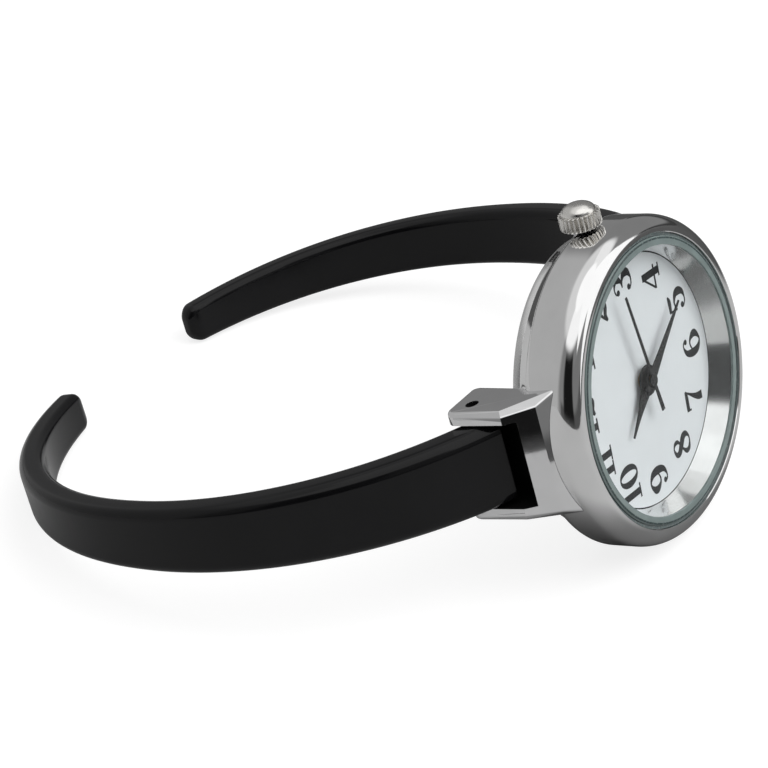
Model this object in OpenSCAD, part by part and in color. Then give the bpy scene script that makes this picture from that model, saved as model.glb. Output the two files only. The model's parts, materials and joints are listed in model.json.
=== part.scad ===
// Cuff watch: a small round quartz watch head on a stiff open bangle.
// Two tapering arms hinge in faceted metal end pieces at 12 and 6 o'clock.
// Everything is modelled in the watch's own frame and laid down once by lay_down():
//   x towards 6 o'clock, y towards the crown at 3 o'clock, z out through the dial,
//   with z = 0 on the dial's face and the hands on the z axis.
// The watch lies on its 9 o'clock side with both arm tips touching the table.

/* [Case] */
// Radius of the case band
case_r = 14.05; // [14:0.05:15.5]
// Height of the bezel's crest above the dial
bezel_top = 2.15; // [2.05:0.05:2.6]
// Height above the dial where the band turns into the domed bezel
band_front = 0.35; // [0:0.05:0.6]
// Depth below the dial where the band's straight part ends
band_rear = 1.9; // [1.6:0.05:2.2]
// Width of the domed bezel, from the band inwards
bezel_dome_w = 1.3; // [1:0.05:1.35]
// Depth below the dial of the band's rear shoulder
shoulder_depth = 2.85; // [2.6:0.05:3.1]
// How far the rear shoulder draws in from the band
shoulder_in = 0.6; // [0.3:0.05:0.8]
// Depth below the dial of the middle's rear face
case_depth = 4.1; // [4.05:0.05:4.4]
// How far the middle's rear face draws in from the band
rear_in = 1.55; // [1.2:0.05:1.6]
// Wall between the band and the bore that takes the movement
case_wall = 2.1; // [2.05:0.05:2.4]
// Thickness of the snap-on case back
back_t = 0.75; // [0.6:0.05:1]
// How far the case back's rim sits in from the band
back_in = 1.45; // [1.1:0.05:1.6]
// Width of the pry notch in the case back's rim
notch_w = 1.6; // [1:0.1:3]

/* [Glass and dial] */
// Width of the bezel, from the band to the bore for the glass
bezel_w = 1.55; // [1.45:0.05:1.6]
// Thickness of the glass
glass_t = 0.95; // [0.8:0.05:1.1]
// Width of the glass's polished bevel
glass_bevel = 0.25; // [0.1:0.05:0.4]
// Width of the reflector ring's foot on the dial
reflector_w = 1.05; // [0.85:0.05:1.4]
// Width of the reflector ring's top under the glass
reflector_top_w = 0.55; // [0.5:0.05:0.75]
// Thickness of the dial
dial_t = 0.4; // [0.3:0.05:0.45]
// Radius of the hole for the hands
dial_hole_r = 0.85; // [0.8:0.05:1]

/* [Hands] */
// Length of the hour hand from its axis
hour_len = 5; // [4:0.1:6.5]
// Widest part of the hour hand
hour_w = 0.95; // [0.6:0.05:1.3]
// Length of the minute hand from its axis
minute_len = 8.2; // [7:0.1:9.5]
// Widest part of the minute hand
minute_w = 0.8; // [0.5:0.05:1.1]
// Length of the second hand from its axis
second_len = 9.2; // [7:0.1:9.8]
// Length of the second hand's tail
second_tail = 2.9; // [1.5:0.1:4]
// Width of the second hand
second_w = 0.22; // [0.15:0.01:0.4]
// Thickness of the hands
hand_t = 0.14; // [0.1:0.01:0.16]
// Angle of the hour hand, clockwise from 12 o'clock
hour_angle = 317; // [0:1:359]
// Angle of the minute hand, clockwise from 12 o'clock
minute_angle = 151; // [0:1:359]
// Angle of the second hand, clockwise from 12 o'clock
second_angle = 85; // [0:1:359]

/* [Crown] */
// Radius of the crown
crown_r = 1.8; // [1.5:0.05:2.1]
// Height of the crown's fluted band
crown_h = 1.3; // [1.1:0.05:2]
// Height of the crown's domed cap
crown_dome = 0.8; // [0.4:0.05:1.1]
// Number of flutes round the crown
crown_flutes = 26; // [16:1:36]
// Depth of the flutes
flute_depth = 0.16; // [0.08:0.01:0.25]
// Gap between the case and the crown pushed home
crown_gap = 0.5; // [0.3:0.05:0.9]
// Depth of the stem's axis below the dial
stem_depth = 2.36; // [2.3:0.01:2.45]
// Radius of the winding stem
stem_r = 0.4; // [0.3:0.05:0.45]
// How far the crown pulls out to set the hands
crown_travel = 1; // [0.6:0.1:1.2]

/* [Arms] */
// Half width of the cuff, centre to the middle of an arm
cuff_half_w = 30.5; // [29:0.5:33]
// Height of the cuff's oval above its widest point
cuff_rise = 29; // [27:0.5:31]
// Height of the cuff's oval below its widest point
cuff_drop = 26.8; // [24:0.1:29]
// Fullness of the oval's lower half, 2 being a plain ellipse
cuff_fullness = 2.2; // [2:0.05:2.6]
// Distance from the cuff's middle to the middle of an arm's tip
tip_reach = 10; // [7:0.1:12]
// How far the rounding runs over an arm's tip
tip_round = 1.35; // [0.7:0.05:1.5]
// Width of an arm at its hinge
arm_w_root = 7.4; // [6.8:0.05:7.5]
// Width of an arm at its tip
arm_w_tip = 3.8; // [2.6:0.05:4.5]
// Thickness of an arm at its hinge
arm_t_root = 3.3; // [3:0.05:3.5]
// Thickness of an arm at its tip
arm_t_tip = 2.2; // [2:0.05:2.6]
// Radius of the arms' rounded edges
arm_edge = 0.7; // [0.4:0.05:0.75]
// Distance from the case band to the middle of an arm's root
root_out_by = 0.4; // [0.3:0.05:0.6]
// Depth of the middle of an arm's root below the dial
root_depth = 5.75; // [5.7:0.05:5.95]

/* [Hinges] */
// Radius of the hinge pins
pin_r = 0.55; // [0.4:0.05:0.65]
// Running clearance of the pins in their bores
pin_clear = 0.05; // [0.02:0.01:0.1]
// Half width of the end piece over its ears
hood_half_w = 5; // [4.8:0.05:5.2]
// Half width of the end piece where its cheeks meet the case band
hood_flare_w = 5.6; // [5.4:0.05:5.8]
// Depth below the dial of the crease between ears and cheeks
crease_depth = 3.4; // [3.3:0.05:3.5]
// Depth below the dial of the rim over the opening for the arm
rim_depth = 2.4; // [2.35:0.05:2.6]
// Side play between an arm and each ear
arm_play = 0.15; // [0.08:0.01:0.2]
// Distance of the pin from an arm's inner face
pin_inset = 0.95; // [0.85:0.05:1.1]
// Distance of the pin from an arm's end
pin_setback = 0.8; // [0.75:0.05:1]
// How far the pin's ends sit below the ears
pin_recess = 0.35; // [0.1:0.05:0.5]
// Thickness of the end piece's floor
hood_floor = 0.6; // [0.5:0.05:0.8]
// Thickness of the end piece's rear web
hood_web = 0.6; // [0.5:0.05:0.7]
// Wire thickness of the hinge springs
wire_d = 0.28; // [0.2:0.02:0.3]
// Turns of each hinge spring
spring_turns = 4; // [3:1:5]

/* [Movement] */
// Width of the ring that holds the movement in the case
ring_w = 1.95; // [1.65:0.05:1.95]
// Radius of the battery
battery_r = 2.9; // [2.6:0.05:2.95]
// Height of the battery
battery_h = 2.1; // [1.6:0.05:2.15]
// Diameter of the screws that hold the train bridge
screw_d = 0.6; // [0.4:0.05:0.7]
// Play left between the flanks of meshing teeth
backlash = 0.03; // [0.02:0.01:0.05]

/* [Hidden] */

fine = 96;       // facets of large round parts
medium = 48;     // facets of small round parts
seat = 0.03;     // gap between pieces that sit in each other
cut = 0.5;       // how far a cut runs past the face it opens

// Radii that follow the case band
case_rear_r = case_r - rear_in;
bore_r = case_r - case_wall;
back_r = case_r - back_in;
glass_bore_r = case_r - bezel_w;
dial_open_r = bore_r - reflector_w;
reflector_top_r = bore_r - reflector_top_w;
root_x = case_r + root_out_by;
plug_t = 0.7;                                   // wall of the case back's snap ring
plug_r = bore_r - plug_t;
movement_r = plug_r - ring_w;

// Depths in the head
glass_bottom = bezel_top - glass_t;
back_face = case_depth + 0.05;                  // depth of the case back's inner rim face
back_bottom = back_face + back_t;               // depth of the flat face on the wrist
gasket_w = 0.24;                                // width of the glass gasket
glass_r = glass_bore_r - gasket_w - 2 * seat;
ledge_r = reflector_top_r + 0.05;               // inner radius of the ledge under the glass
reflector_top = glass_bottom - 0.3;
plug_h = 0.6;                                   // height of the case back's snap ring
band_in_r = case_r - shoulder_in;

function arc(cx, cy, rx, ry, a0, a1, n) =
    [for (i = [0 : n]) let (a = a0 + (a1 - a0) * i / n) [cx + rx * cos(a), cy + ry * sin(a)]];

// Outer line of the middle, from the rear face to the bezel's crest
function case_outline(grow = 0) = concat(
    [[case_rear_r + grow, -case_depth]],
    [[band_in_r - 0.15 + grow, -shoulder_depth - 0.1], [band_in_r - 0.15 + grow, -shoulder_depth]],
    arc(band_in_r, -band_rear, shoulder_in + grow, shoulder_depth - band_rear, -90, 0, 8),
    arc(case_r - bezel_dome_w, band_front, bezel_dome_w + grow, bezel_top - band_front, 0, 90, 12));

module case_middle() {
    lay_down() color("silver") difference() {
        rotate_extrude($fn = fine) polygon(concat(case_outline(), [
            [glass_bore_r, bezel_top], [glass_bore_r, glass_bottom - seat],
            [ledge_r, glass_bottom - seat], [ledge_r, reflector_top],
            [bore_r, reflector_top], [bore_r, -case_depth]]));
        on_stem(bore_r - cut) cylinder(r = tube_r + seat / 2, h = case_r, $fn = medium);
    }
}

// Glass, held in the bezel by a nylon ring
module glass() {
    lay_down() color([0.75, 0.85, 0.85, 0.4]) rotate_extrude($fn = fine) polygon([
        [0, glass_bottom], [glass_r, glass_bottom], [glass_r, bezel_top - glass_bevel],
        [glass_r - glass_bevel, bezel_top], [0, bezel_top]]);
}
module glass_gasket() {
    lay_down() color("darkslategray") ring(glass_r + seat, glass_r + seat + gasket_w,
        glass_bottom, bezel_top - glass_bevel);
}
module ring(r_in, r_out, z0, z1) {
    rotate_extrude($fn = fine) translate([r_in, z0]) square([r_out - r_in, z1 - z0]);
}

// Steep polished ring between the dial and the glass
module reflector_ring() {
    lay_down() color("gainsboro") rotate_extrude($fn = fine) polygon([
        [dial_open_r, seat], [bore_r - seat, seat], [bore_r - seat, reflector_top - seat],
        [reflector_top_r, reflector_top - seat]]);
}

foot_at = [0, -0.9] * movement_r;    // place of one dial foot, the other is opposite
foot_r = 0.3;
module dial() {
    lay_down() color("whitesmoke") difference() {
        union() {
            translate([0, 0, -dial_t]) cylinder(r = bore_r - seat, h = dial_t, $fn = fine);
            at_feet() translate([0, 0, -dial_t - 0.9]) cylinder(r = foot_r, h = 1, $fn = medium);
        }
        translate([0, 0, -dial_t - cut]) cylinder(r = dial_hole_r, h = dial_t + 2 * cut, $fn = medium);
    }
}
module at_feet() {
    for (turn = [40, 220]) rotate(turn) translate(foot_at) children();
}

// Case back: a flat cap with a snap ring, a gasket groove and a notch to pry it off
notch_angle = 81;                    // from 12 o'clock towards the crown
gasket_r = [bore_r + 0.1, bore_r + 0.35];
module case_back() {
    lay_down() color("silver") difference() {
        rotate_extrude($fn = fine) polygon([
            [0, -back_bottom], [back_r - 0.25, -back_bottom], [back_r, -back_bottom + 0.2],
            [back_r - 0.15, -back_face], [gasket_r[1], -back_face], [gasket_r[1], -back_face - 0.2],
            [gasket_r[0], -back_face - 0.2], [gasket_r[0], -back_face], [bore_r - seat, -back_face],
            [bore_r - seat, -back_face + plug_h], [plug_r, -back_face + plug_h],
            [plug_r, -back_face], [0, -back_face]]);
        rotate(180 - notch_angle) translate([back_r - 0.4, -notch_w / 2, -back_bottom + 0.3])
            cube([1, notch_w, back_t]);
    }
}
module case_back_gasket() {
    lay_down() color("black") ring(gasket_r[0] + seat, gasket_r[1] - seat, -back_face - 0.17,
        -case_depth - 0.01);
}

// Oval line of an arm's middle, in x and z, from the root to the tip.
// The upper part is a quarter ellipse and the lower part a fuller quarter oval.
root_angle = acos(root_x / cuff_half_w);
cuff_mid = -root_depth - cuff_rise * sin(root_angle);
tip_angle = acos(pow(tip_reach / cuff_half_w, cuff_fullness / 2));
upper_rings = 14;
lower_rings = 18;
arm_line = concat(
    [for (i = [0 : upper_rings]) let (a = root_angle * (1 - i / upper_rings))
        [cuff_half_w * cos(a), cuff_mid + cuff_rise * sin(a)]],
    [for (i = [1 : lower_rings]) let (a = tip_angle * i / lower_rings)
        [cuff_half_w * pow(cos(a), 2 / cuff_fullness),
         cuff_mid - cuff_drop * pow(sin(a), 2 / cuff_fullness)]]);
last = len(arm_line) - 1;
function unit(v) = v / norm(v);
function heading(i) = unit(arm_line[min(i + 1, last)] - arm_line[max(i - 1, 0)]);
function run(i) = i == 0 ? 0 : run(i - 1) + norm(arm_line[i] - arm_line[i - 1]);
arm_len = run(last);
root_heading = unit([cuff_half_w * sin(root_angle), -cuff_rise * cos(root_angle)]);
root_out = [-root_heading[1], root_heading[0]];          // outwards, across the arm's thickness
function arm_w(s) = arm_w_root + (arm_w_tip - arm_w_root) * pow(s, 1.12);
function arm_t(s) = arm_t_root + (arm_t_tip - arm_t_root) * s;

// Rounded rectangle across an arm, w wide and t thick, with edges of radius r
corner_steps = 4;
function section(w, t, r = arm_edge) = [
    for (q = [0 : 3]) for (k = [0 : corner_steps])
        let (a = 90 * q + 90 * k / corner_steps,
             sx = (q == 0 || q == 3) ? 1 : -1, sy = q < 2 ? 1 : -1)
        [sx * (t / 2 - r) + r * cos(a), sy * (w / 2 - r) + r * sin(a)]];
function arm_ring(i) = i == 0
    ? placed(arm_line[0], root_heading, section(arm_w(0), arm_t(0)))
    : placed(arm_line[i], heading(i), section(arm_w(run(i) / arm_len), arm_t(run(i) / arm_len)));
function placed(at, dir, pts) = [for (p = pts)
    [at[0] - dir[1] * p[0], p[1], at[1] + dir[0] * p[0]]];
// Rings that round off the tip, more across its width than across its thickness
tip_steps = [15 : 15 : 75];
function tip_ring(a) = let (in = tip_round * (1 - cos(a)), thin = arm_t_tip * 0.38 * (1 - cos(a)))
    placed(arm_line[last] + heading(last) * tip_round * sin(a), heading(last),
        section(arm_w_tip - 2 * in, arm_t_tip - 2 * thin,
            min(arm_edge, (arm_w_tip / 2 - in) * 0.8, (arm_t_tip / 2 - thin) * 0.8)));
arm_rings = concat([for (i = [0 : last]) arm_ring(i)], [for (a = tip_steps) tip_ring(a)]);

module swept(rings) {
    n = len(rings[0]);
    m = len(rings);
    polyhedron(points = [for (r = rings) for (p = r) p], faces = concat(
        [for (i = [0 : m - 2]) for (j = [0 : n - 1]) each
            [[i * n + j, (i + 1) * n + j, i * n + (j + 1) % n],
             [(i + 1) * n + j, (i + 1) * n + (j + 1) % n, i * n + (j + 1) % n]]],
        [[for (j = [0 : n - 1]) j]], [[for (j = [n - 1 : -1 : 0]) (m - 1) * n + j]]));
}

// An arm, moulded round its hinge knuckle
tongue_l = 5.5;
tongue_w = 4;
tongue_t = 0.9;
rebate_l = pin_setback + 1.1;
rebate_t = 2 * pin_inset + 0.1;
module arm_solid() {
    color([0.05, 0.05, 0.06]) difference() {
        swept(arm_rings);
        at_root() translate([-cut, -arm_w_root, -arm_t_root / 2 - cut])
            cube([rebate_l + cut, 2 * arm_w_root, rebate_t + cut]);
        at_root() translate([0, -tongue_w / 2 - seat, -tongue_t / 2 + pin_up - seat])
            cube([tongue_l + seat, tongue_w + 2 * seat, tongue_t + 2 * seat]);
    }
}
// Carries its children to an arm's root: x along the arm, y across, z outwards
root_tilt = atan2(root_out[0], root_out[1]);
module at_root() {
    translate([root_x, 0, -root_depth]) rotate([0, root_tilt, 0]) children();
}
pin_up = -arm_t_root / 2 + pin_inset;                    // pin's height in the root's frame
pin_at = [root_x, -root_depth] + pin_setback * root_heading + pin_up * root_out;
module arm_12() { lay_down() at_12() arm_solid(); }
module arm_6() { lay_down() arm_solid(); }
module at_12() { mirror([1, 0, 0]) children(); }

// Hinge knuckle: two barrels on a tongue that the arm is moulded round, with heels that stop
// the closing arm under a ledge of the end piece
barrel_r = pin_inset - 0.05;
barrel_gap = 1;                                          // half the room for the spring
knuckle_w = arm_w_root / 2 - barrel_gap - 0.1;
strap_w = tongue_w / 2 - barrel_gap;
heel_l = 1.4;                                            // from the pin to the heels' ends
heel_t = 0.4;
module knuckle_solid() {
    color("gray") difference() {
        union() {
            at_pin() {
                for (side = [-1, 1]) translate([0, side * (barrel_gap + knuckle_w / 2), 0])
                    rotate([90, 0, 0]) cylinder(r = barrel_r, h = knuckle_w, center = true, $fn = medium);
                for (side = [-1, 1]) translate([web_from / 2, side * (barrel_gap + strap_w / 2), 0])
                    cube([web_from, strap_w, tongue_t], center = true);
                translate([web_from, -tongue_w / 2, -tongue_t / 2])
                    cube([tongue_l - pin_setback - web_from, tongue_w, tongue_t]);
            }
            for (side = [-1, 1])
                translate([pin_at[0] - heel_l / 2, side * (barrel_gap + knuckle_w / 2), pin_at[1]])
                    cube([heel_l, knuckle_w, heel_t], center = true);
        }
        at_pin() rotate([90, 0, 0])
            cylinder(r = pin_r + pin_clear, h = 2 * arm_w_root, center = true, $fn = medium);
    }
}
module at_pin() { at_root() translate([pin_setback, 0, pin_up]) children(); }
module knuckle_12() { lay_down() at_12() knuckle_solid(); }
module knuckle_6() { lay_down() knuckle_solid(); }

// Hinge pin, sunk a little below the ears at both ends
module pin_solid() {
    color("dimgray") translate([pin_at[0], 0, pin_at[1]]) rotate([90, 0, 0])
        cylinder(r = pin_r, h = 2 * (hood_half_w - pin_recess), center = true, $fn = medium);
}
module hinge_pin_12() { lay_down() at_12() pin_solid(); }
module hinge_pin_6() { lay_down() pin_solid(); }

// Torsion spring round the pin, between the knuckle's barrels
coil_r = pin_r + 0.08 + wire_d / 2;
coil_steps = 12;
coil_half = barrel_gap - 0.1 - wire_d / 2;
web_from = coil_r + wire_d / 2 + 0.1;                    // from the pin to the tongue's end
module spring_solid() {
    rings = [for (i = [0 : spring_turns * coil_steps]) let (a = 360 * i / coil_steps,
        y = -coil_half + 2 * coil_half * i / (spring_turns * coil_steps))
        [for (k = [0 : 5]) let (b = -60 * k, r = coil_r + wire_d / 2 * cos(b))
            [pin_at[0] + r * cos(a), y + wire_d / 2 * sin(b), pin_at[1] + r * sin(a)]]];
    color("lightsteelblue") swept(rings);
}
module hinge_spring_12() { lay_down() at_12() spring_solid(); }
module hinge_spring_6() { lay_down() spring_solid(); }

// End piece: a faceted cap with two ears, brazed to the case band.
// Corners of its side view are [x, z, half width, edge radius].
hood_in_half = arm_w_root / 2 + arm_play;
hood_rear_r = back_r + seat;                             // hollow rear face, round the case back
hood_bottom = pin_at[1] - 1.95;
hood_front = pin_at[0] + 1.6;
hood_back = sqrt(pow(hood_rear_r, 2) - pow(hood_half_w, 2)) - 0.15;
low_at = [pin_at[0] + 1.2, -crease_depth + 0.1];         // where the outer plate meets an ear's edge
ridge_at = [case_r + 0.4, low_at[1] + 2.45];             // ridge between the outer plate and roof
flare_at = [sqrt(pow(case_r, 2) - pow(hood_flare_w, 2)), ridge_at[1] + 1.05];
under_r = [0.8, 0.9];                                    // of the lower corners, back and front
crease_r = 0.2;                                          // of the crease between ears and cheeks
edge_r = 0.15;                                           // of the edges round the outer plate
hood_corners = [
    [hood_back + under_r[0], hood_bottom + under_r[0], hood_half_w, under_r[0]],
    [hood_front - under_r[1], hood_bottom + under_r[1], hood_half_w, under_r[1]],
    [low_at[0] - 2 * crease_r, -crease_depth - crease_r, hood_half_w, crease_r],
    [hood_back + 2 * crease_r, -crease_depth - crease_r, hood_half_w, crease_r],
    [low_at[0] - edge_r, low_at[1] - edge_r, hood_half_w - 0.4, edge_r],
    [ridge_at[0] - edge_r, ridge_at[1] - edge_r, hood_half_w - 0.1, edge_r],
    [flare_at[0] - edge_r + 0.05, flare_at[1] - edge_r + 0.05, hood_flare_w, edge_r]];
ear_round = 0.45;                                        // rounding of the ears' outer edges
ledge_t = 0.5;                                           // thickness of the ledge that stops an arm
module hood_corner(c) {
    translate([c[0], 0, c[1]]) rotate([90, 0, 0]) {
        cylinder(r = c[3], h = 2 * (c[2] - ear_round), center = true, $fn = 16);
        cylinder(r = max(c[3] - ear_round, 0.03), h = 2 * c[2], center = true, $fn = 16);
    }
}
module end_piece_solid() {
    floor_z = hood_bottom + hood_floor;
    web_x = hood_rear_r + hood_web;
    stop_x = pin_at[0] - barrel_r - 0.05;                // ledge over the knuckle's heels
    stop_z = pin_at[1] + heel_t / 2 + seat;
    roof_in = 0.45;                                      // how far the roof stands off the band
    floor_end = [0.7, 0.35];                             // from the pin back to the floor's edge
    color("silver") difference() {
        hull() for (c = hood_corners) hood_corner(c);
        rotate_extrude($fn = fine) polygon(concat(case_outline(seat),
            [[0, bezel_top], [0, hood_bottom - cut], [hood_rear_r, hood_bottom - cut],
             [hood_rear_r, -case_depth]]));
        rotate([90, 0, 0]) linear_extrude(2 * hood_in_half, center = true) polygon([
            [hood_front + cut, -rim_depth], [ridge_at[0] + edge_r, -rim_depth],
            [band_in_r + roof_in, -shoulder_depth], [web_x, -back_bottom],
            [web_x, stop_z + ledge_t], [stop_x, stop_z + ledge_t], [stop_x, stop_z], [web_x, stop_z],
            [web_x, floor_z], [pin_at[0] - floor_end[0], floor_z],
            [pin_at[0] - floor_end[1], hood_bottom - cut], [hood_front + cut, hood_bottom - cut]]);
        translate([pin_at[0], 0, pin_at[1]]) rotate([90, 0, 0])
            cylinder(r = pin_r + pin_clear, h = 4 * hood_half_w, center = true, $fn = medium);
    }
}
module end_piece_12() { lay_down() at_12() end_piece_solid(); }
module end_piece_6() { lay_down() end_piece_solid(); }

// Crown and stem. Children of on_stem() start y along the stem's axis and point out along it.
tube_r = 0.85;
tube_out = 0.35;                                         // how far the tube stands out of the band
crown_seat = case_r + crown_gap - 0.3; // underside of the crown, along y
module on_stem(start = 0) {
    translate([0, start, -stem_depth]) rotate([-90, 0, 0]) children();
}
module stem_tube() {
    lay_down() color("silver") difference() {
        on_stem(bore_r - 0.4) cylinder(r = tube_r, h = case_r + tube_out - bore_r, $fn = medium);
        on_stem(bore_r - cut - 0.4) cylinder(r = stem_r + 0.06, h = 2 * case_r, $fn = medium);
    }
}
module crown() {
    lay_down() color("lightgray") difference() {
        on_stem(crown_seat) union() {
            linear_extrude(crown_h) polygon([for (i = [0 : crown_flutes - 1])
                for (k = [[0, 0], [0.3, 0], [0.5, 1], [0.8, 1]])
                let (a = 360 * (i + k[0]) / crown_flutes, r = crown_r - k[1] * flute_depth)
                r * [cos(a), sin(a)]]);
            translate([0, 0, crown_h]) rotate_extrude($fn = medium) polygon(concat([[0, 0]],
                [[crown_r - flute_depth - 0.05, 0], [crown_r - flute_depth - 0.05, 0.12]],
                arc(0, 0.12, crown_r - flute_depth - 0.2, crown_dome - 0.12, 8, 90, 8)));
        }
        on_stem(crown_seat - cut) cylinder(r = recess_r, h = recess_h + cut, $fn = medium);
        on_stem(crown_seat) cylinder(r = stem_r + 0.01, h = crown_h * 0.75, $fn = medium);
    }
}
recess_r = tube_r + 0.3;
recess_h = 0.65;
groove_y = movement_r - 1.6;                             // where the setting lever holds the stem
stem_in = movement_r - 3.4;
module winding_stem() {
    lay_down() color("silver") difference() {
        on_stem(stem_in) cylinder(r = stem_r, h = crown_seat + crown_h * 0.7 - stem_in, $fn = medium);
        on_stem(groove_y) rotate_extrude($fn = medium)
            translate([stem_r * 0.6, 0]) square([stem_r, lever_t + 0.1]);
    }
}
module crown_gasket() {
    lay_down() color("black") on_stem(crown_seat + recess_h - 0.22) rotate_extrude($fn = medium)
        translate([stem_r + 0.05, 0]) square([recess_r - stem_r - 0.07, 0.2]);
}
lever_t = 0.25;
module setting_lever() {
    lay_down() color("goldenrod") difference() {
        translate([-0.75, groove_y + 0.05, -stem_depth - 0.75]) cube([2.4, lever_t, 1.3]);
        on_stem(groove_y - cut) cylinder(r = stem_r * 0.6 + 0.04, h = 2, $fn = medium);
        translate([-stem_r * 0.6 - 0.04, groove_y - cut, -stem_depth - 2])
            cube([stem_r * 1.2 + 0.08, 2, 2]);
    }
}

// Gears. A tooth is a trapezium with its top drawn in, thinned by half the backlash.
function gear(teeth, m) = let (r = m * teeth / 2, w = 90 / teeth, thin = backlash / r * 28.65)
    [for (i = [0 : teeth - 1]) let (c = 360 * i / teeth) each [
        (r - 1.2 * m) * unit2(c - w * 1.35 + thin), (r + 0.85 * m) * unit2(c - w * 0.42 + thin),
        (r + 0.85 * m) * unit2(c + w * 0.42 - thin), (r - 1.2 * m) * unit2(c + w * 1.35 - thin)]];
function unit2(a) = [cos(a), sin(a)];
module wheel(teeth, m, z, turn = 0) {
    translate([0, 0, z[0]]) rotate(turn) linear_extrude(z[1] - z[0]) polygon(gear(teeth, m));
}
module rod(r, z0, z1) { translate([0, 0, z0]) cylinder(r = r, h = z1 - z0, $fn = medium); }
// Turn that sets a gear's tooth gap against the tooth of a partner at direction dir
function meshed(teeth, dir, partner_turn, partner_teeth) =
    dir + 180 + 180 / teeth + (dir - partner_turn) * partner_teeth / teeth;

// Tooth counts and modules of the train: 30 rotor turns to 1, then 60 to 1 and 12 to 1
rotor_teeth = 6;
inter_teeth = [36, 8];      // wheel, pinion
second_teeth = [40, 8];
third_teeth = [60, 8];
centre_teeth = 64;
cannon_teeth = 12;
minute_teeth = [36, 10];
hour_teeth = 40;
m_rotor = 0.09;
m_second = 0.13;
train_arm = 3.06;           // distance of the third wheel from the centre
motion_arm = 3;             // distance of the minute wheel from the centre
m_third = 2 * train_arm / (second_teeth[1] + third_teeth[0]);
m_centre = 2 * train_arm / (third_teeth[1] + centre_teeth);
m_cannon = 2 * motion_arm / (cannon_teeth + minute_teeth[0]);
m_hour = 2 * motion_arm / (minute_teeth[1] + hour_teeth);
inter_arm = m_second * (second_teeth[0] + inter_teeth[1]) / 2;
rotor_arm = m_rotor * (rotor_teeth + inter_teeth[0]) / 2;
third_dir = 140;
inter_dir = 20;
motion_dir = 90;
third_at = train_arm * unit2(third_dir);
inter_at = inter_arm * unit2(inter_dir);
rotor_at = inter_at + rotor_arm * unit2(inter_dir);
motion_at = motion_arm * unit2(motion_dir);

// Layers of the movement, as heights from the dial's face: [lower, upper]
second_wheel_z = [-3.05, -2.9];
second_pinion_z = [-2.95, -2.55];
third_wheel_z = [-2.8, -2.65];
third_pinion_z = [-2.7, -2.2];
inter_pinion_z = [-3.1, -2.65];
inter_wheel_z = [-2.65, -2.5];
rotor_pinion_z = [-2.9, -2.45];
magnet_z = [-3.2, -2.85];
centre_wheel_z = [-2.4, -2.25];
cannon_teeth_z = [-1.12, -0.85];
minute_wheel_z = [-1.1, -0.9];
minute_pinion_z = [-0.95, -0.55];
hour_wheel_z = [-0.75, -0.58];
plate_top = -dial_t - 0.1;
pocket_z = -1.2;
plate_z = -2.1;
bridge_z = [-3.75, -3.4];
arbor_r = 0.12;
cannon_r = [0.17, 0.5];
hour_r = [0.54, 0.75];

module second_wheel() {
    lay_down() color("gold") {
        wheel(second_teeth[0], m_second, second_wheel_z);
        wheel(second_teeth[1], m_third, second_pinion_z);
        rod(arbor_r, bridge_z[1] - 0.25, second_z + hand_t);
    }
}
module third_wheel() {
    lay_down() color("gold") translate(third_at) {
        wheel(third_teeth[0], m_third, third_wheel_z,
            meshed(third_teeth[0], third_dir, 0, second_teeth[1]));
        wheel(third_teeth[1], m_centre, third_pinion_z,
            meshed(third_teeth[1], third_dir, 0, centre_teeth));
        rod(arbor_r, bridge_z[1] - 0.25, plate_z + 0.3);
    }
}
module intermediate_wheel() {
    lay_down() color("gold") translate(inter_at) {
        wheel(inter_teeth[1], m_second, inter_pinion_z,
            meshed(inter_teeth[1], inter_dir, 0, second_teeth[0]));
        wheel(inter_teeth[0], m_rotor, inter_wheel_z);
        rod(arbor_r, bridge_z[1] - 0.25, plate_z + 0.3);
    }
}
magnet_r = 0.7;
module rotor() {
    lay_down() color("dimgray") translate(rotor_at) {
        wheel(rotor_teeth, m_rotor, rotor_pinion_z,
            meshed(rotor_teeth, inter_dir, 0, inter_teeth[0]));
        rod(magnet_r, magnet_z[0], magnet_z[1]);
        rod(arbor_r, bridge_z[1] - 0.25, plate_z + 0.3);
    }
}
module centre_wheel() {
    lay_down() color("gold") difference() {
        wheel(centre_teeth, m_centre, centre_wheel_z);
        rod(cannon_r[1] + 0.01, centre_wheel_z[0] - cut, centre_wheel_z[1] + cut);
    }
}
module cannon_pinion() {
    lay_down() color("gold") difference() {
        union() {
            wheel(cannon_teeth, m_cannon, cannon_teeth_z);
            rod(cannon_r[1], centre_wheel_z[0] - 0.05, minute_z + hand_t);
        }
        rod(cannon_r[0], -3, 3);
    }
}
module minute_wheel() {
    lay_down() color("gold") translate(motion_at) difference() {
        union() {
            wheel(minute_teeth[0], m_cannon, minute_wheel_z,
                meshed(minute_teeth[0], motion_dir, 0, cannon_teeth));
            wheel(minute_teeth[1], m_hour, minute_pinion_z,
                meshed(minute_teeth[1], motion_dir, 0, hour_teeth));
        }
        rod(0.25, -3, 3);
    }
}
module hour_wheel() {
    lay_down() color("gold") difference() {
        union() {
            wheel(hour_teeth, m_hour, hour_wheel_z);
            rod(hour_r[1], hour_wheel_z[0], hour_z + hand_t);
        }
        rod(hour_r[0], -3, 3);
    }
}

// Hands. Each blade is a profile in the plane of the dial, pointing to 12 o'clock (-x).
hour_z = 0.4;
minute_z = 0.72;
second_z = 0.98;
module hand(angle, z, hub_r, bore) {
    lay_down() color([0.08, 0.08, 0.09]) rotate(-angle) difference() {
        union() {
            translate([0, 0, z]) linear_extrude(hand_t) children();
            rod(hub_r, z - 0.12, z + hand_t);
        }
        if (bore > 0) rod(bore + 0.01, -1, 3);
    }
}
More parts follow.
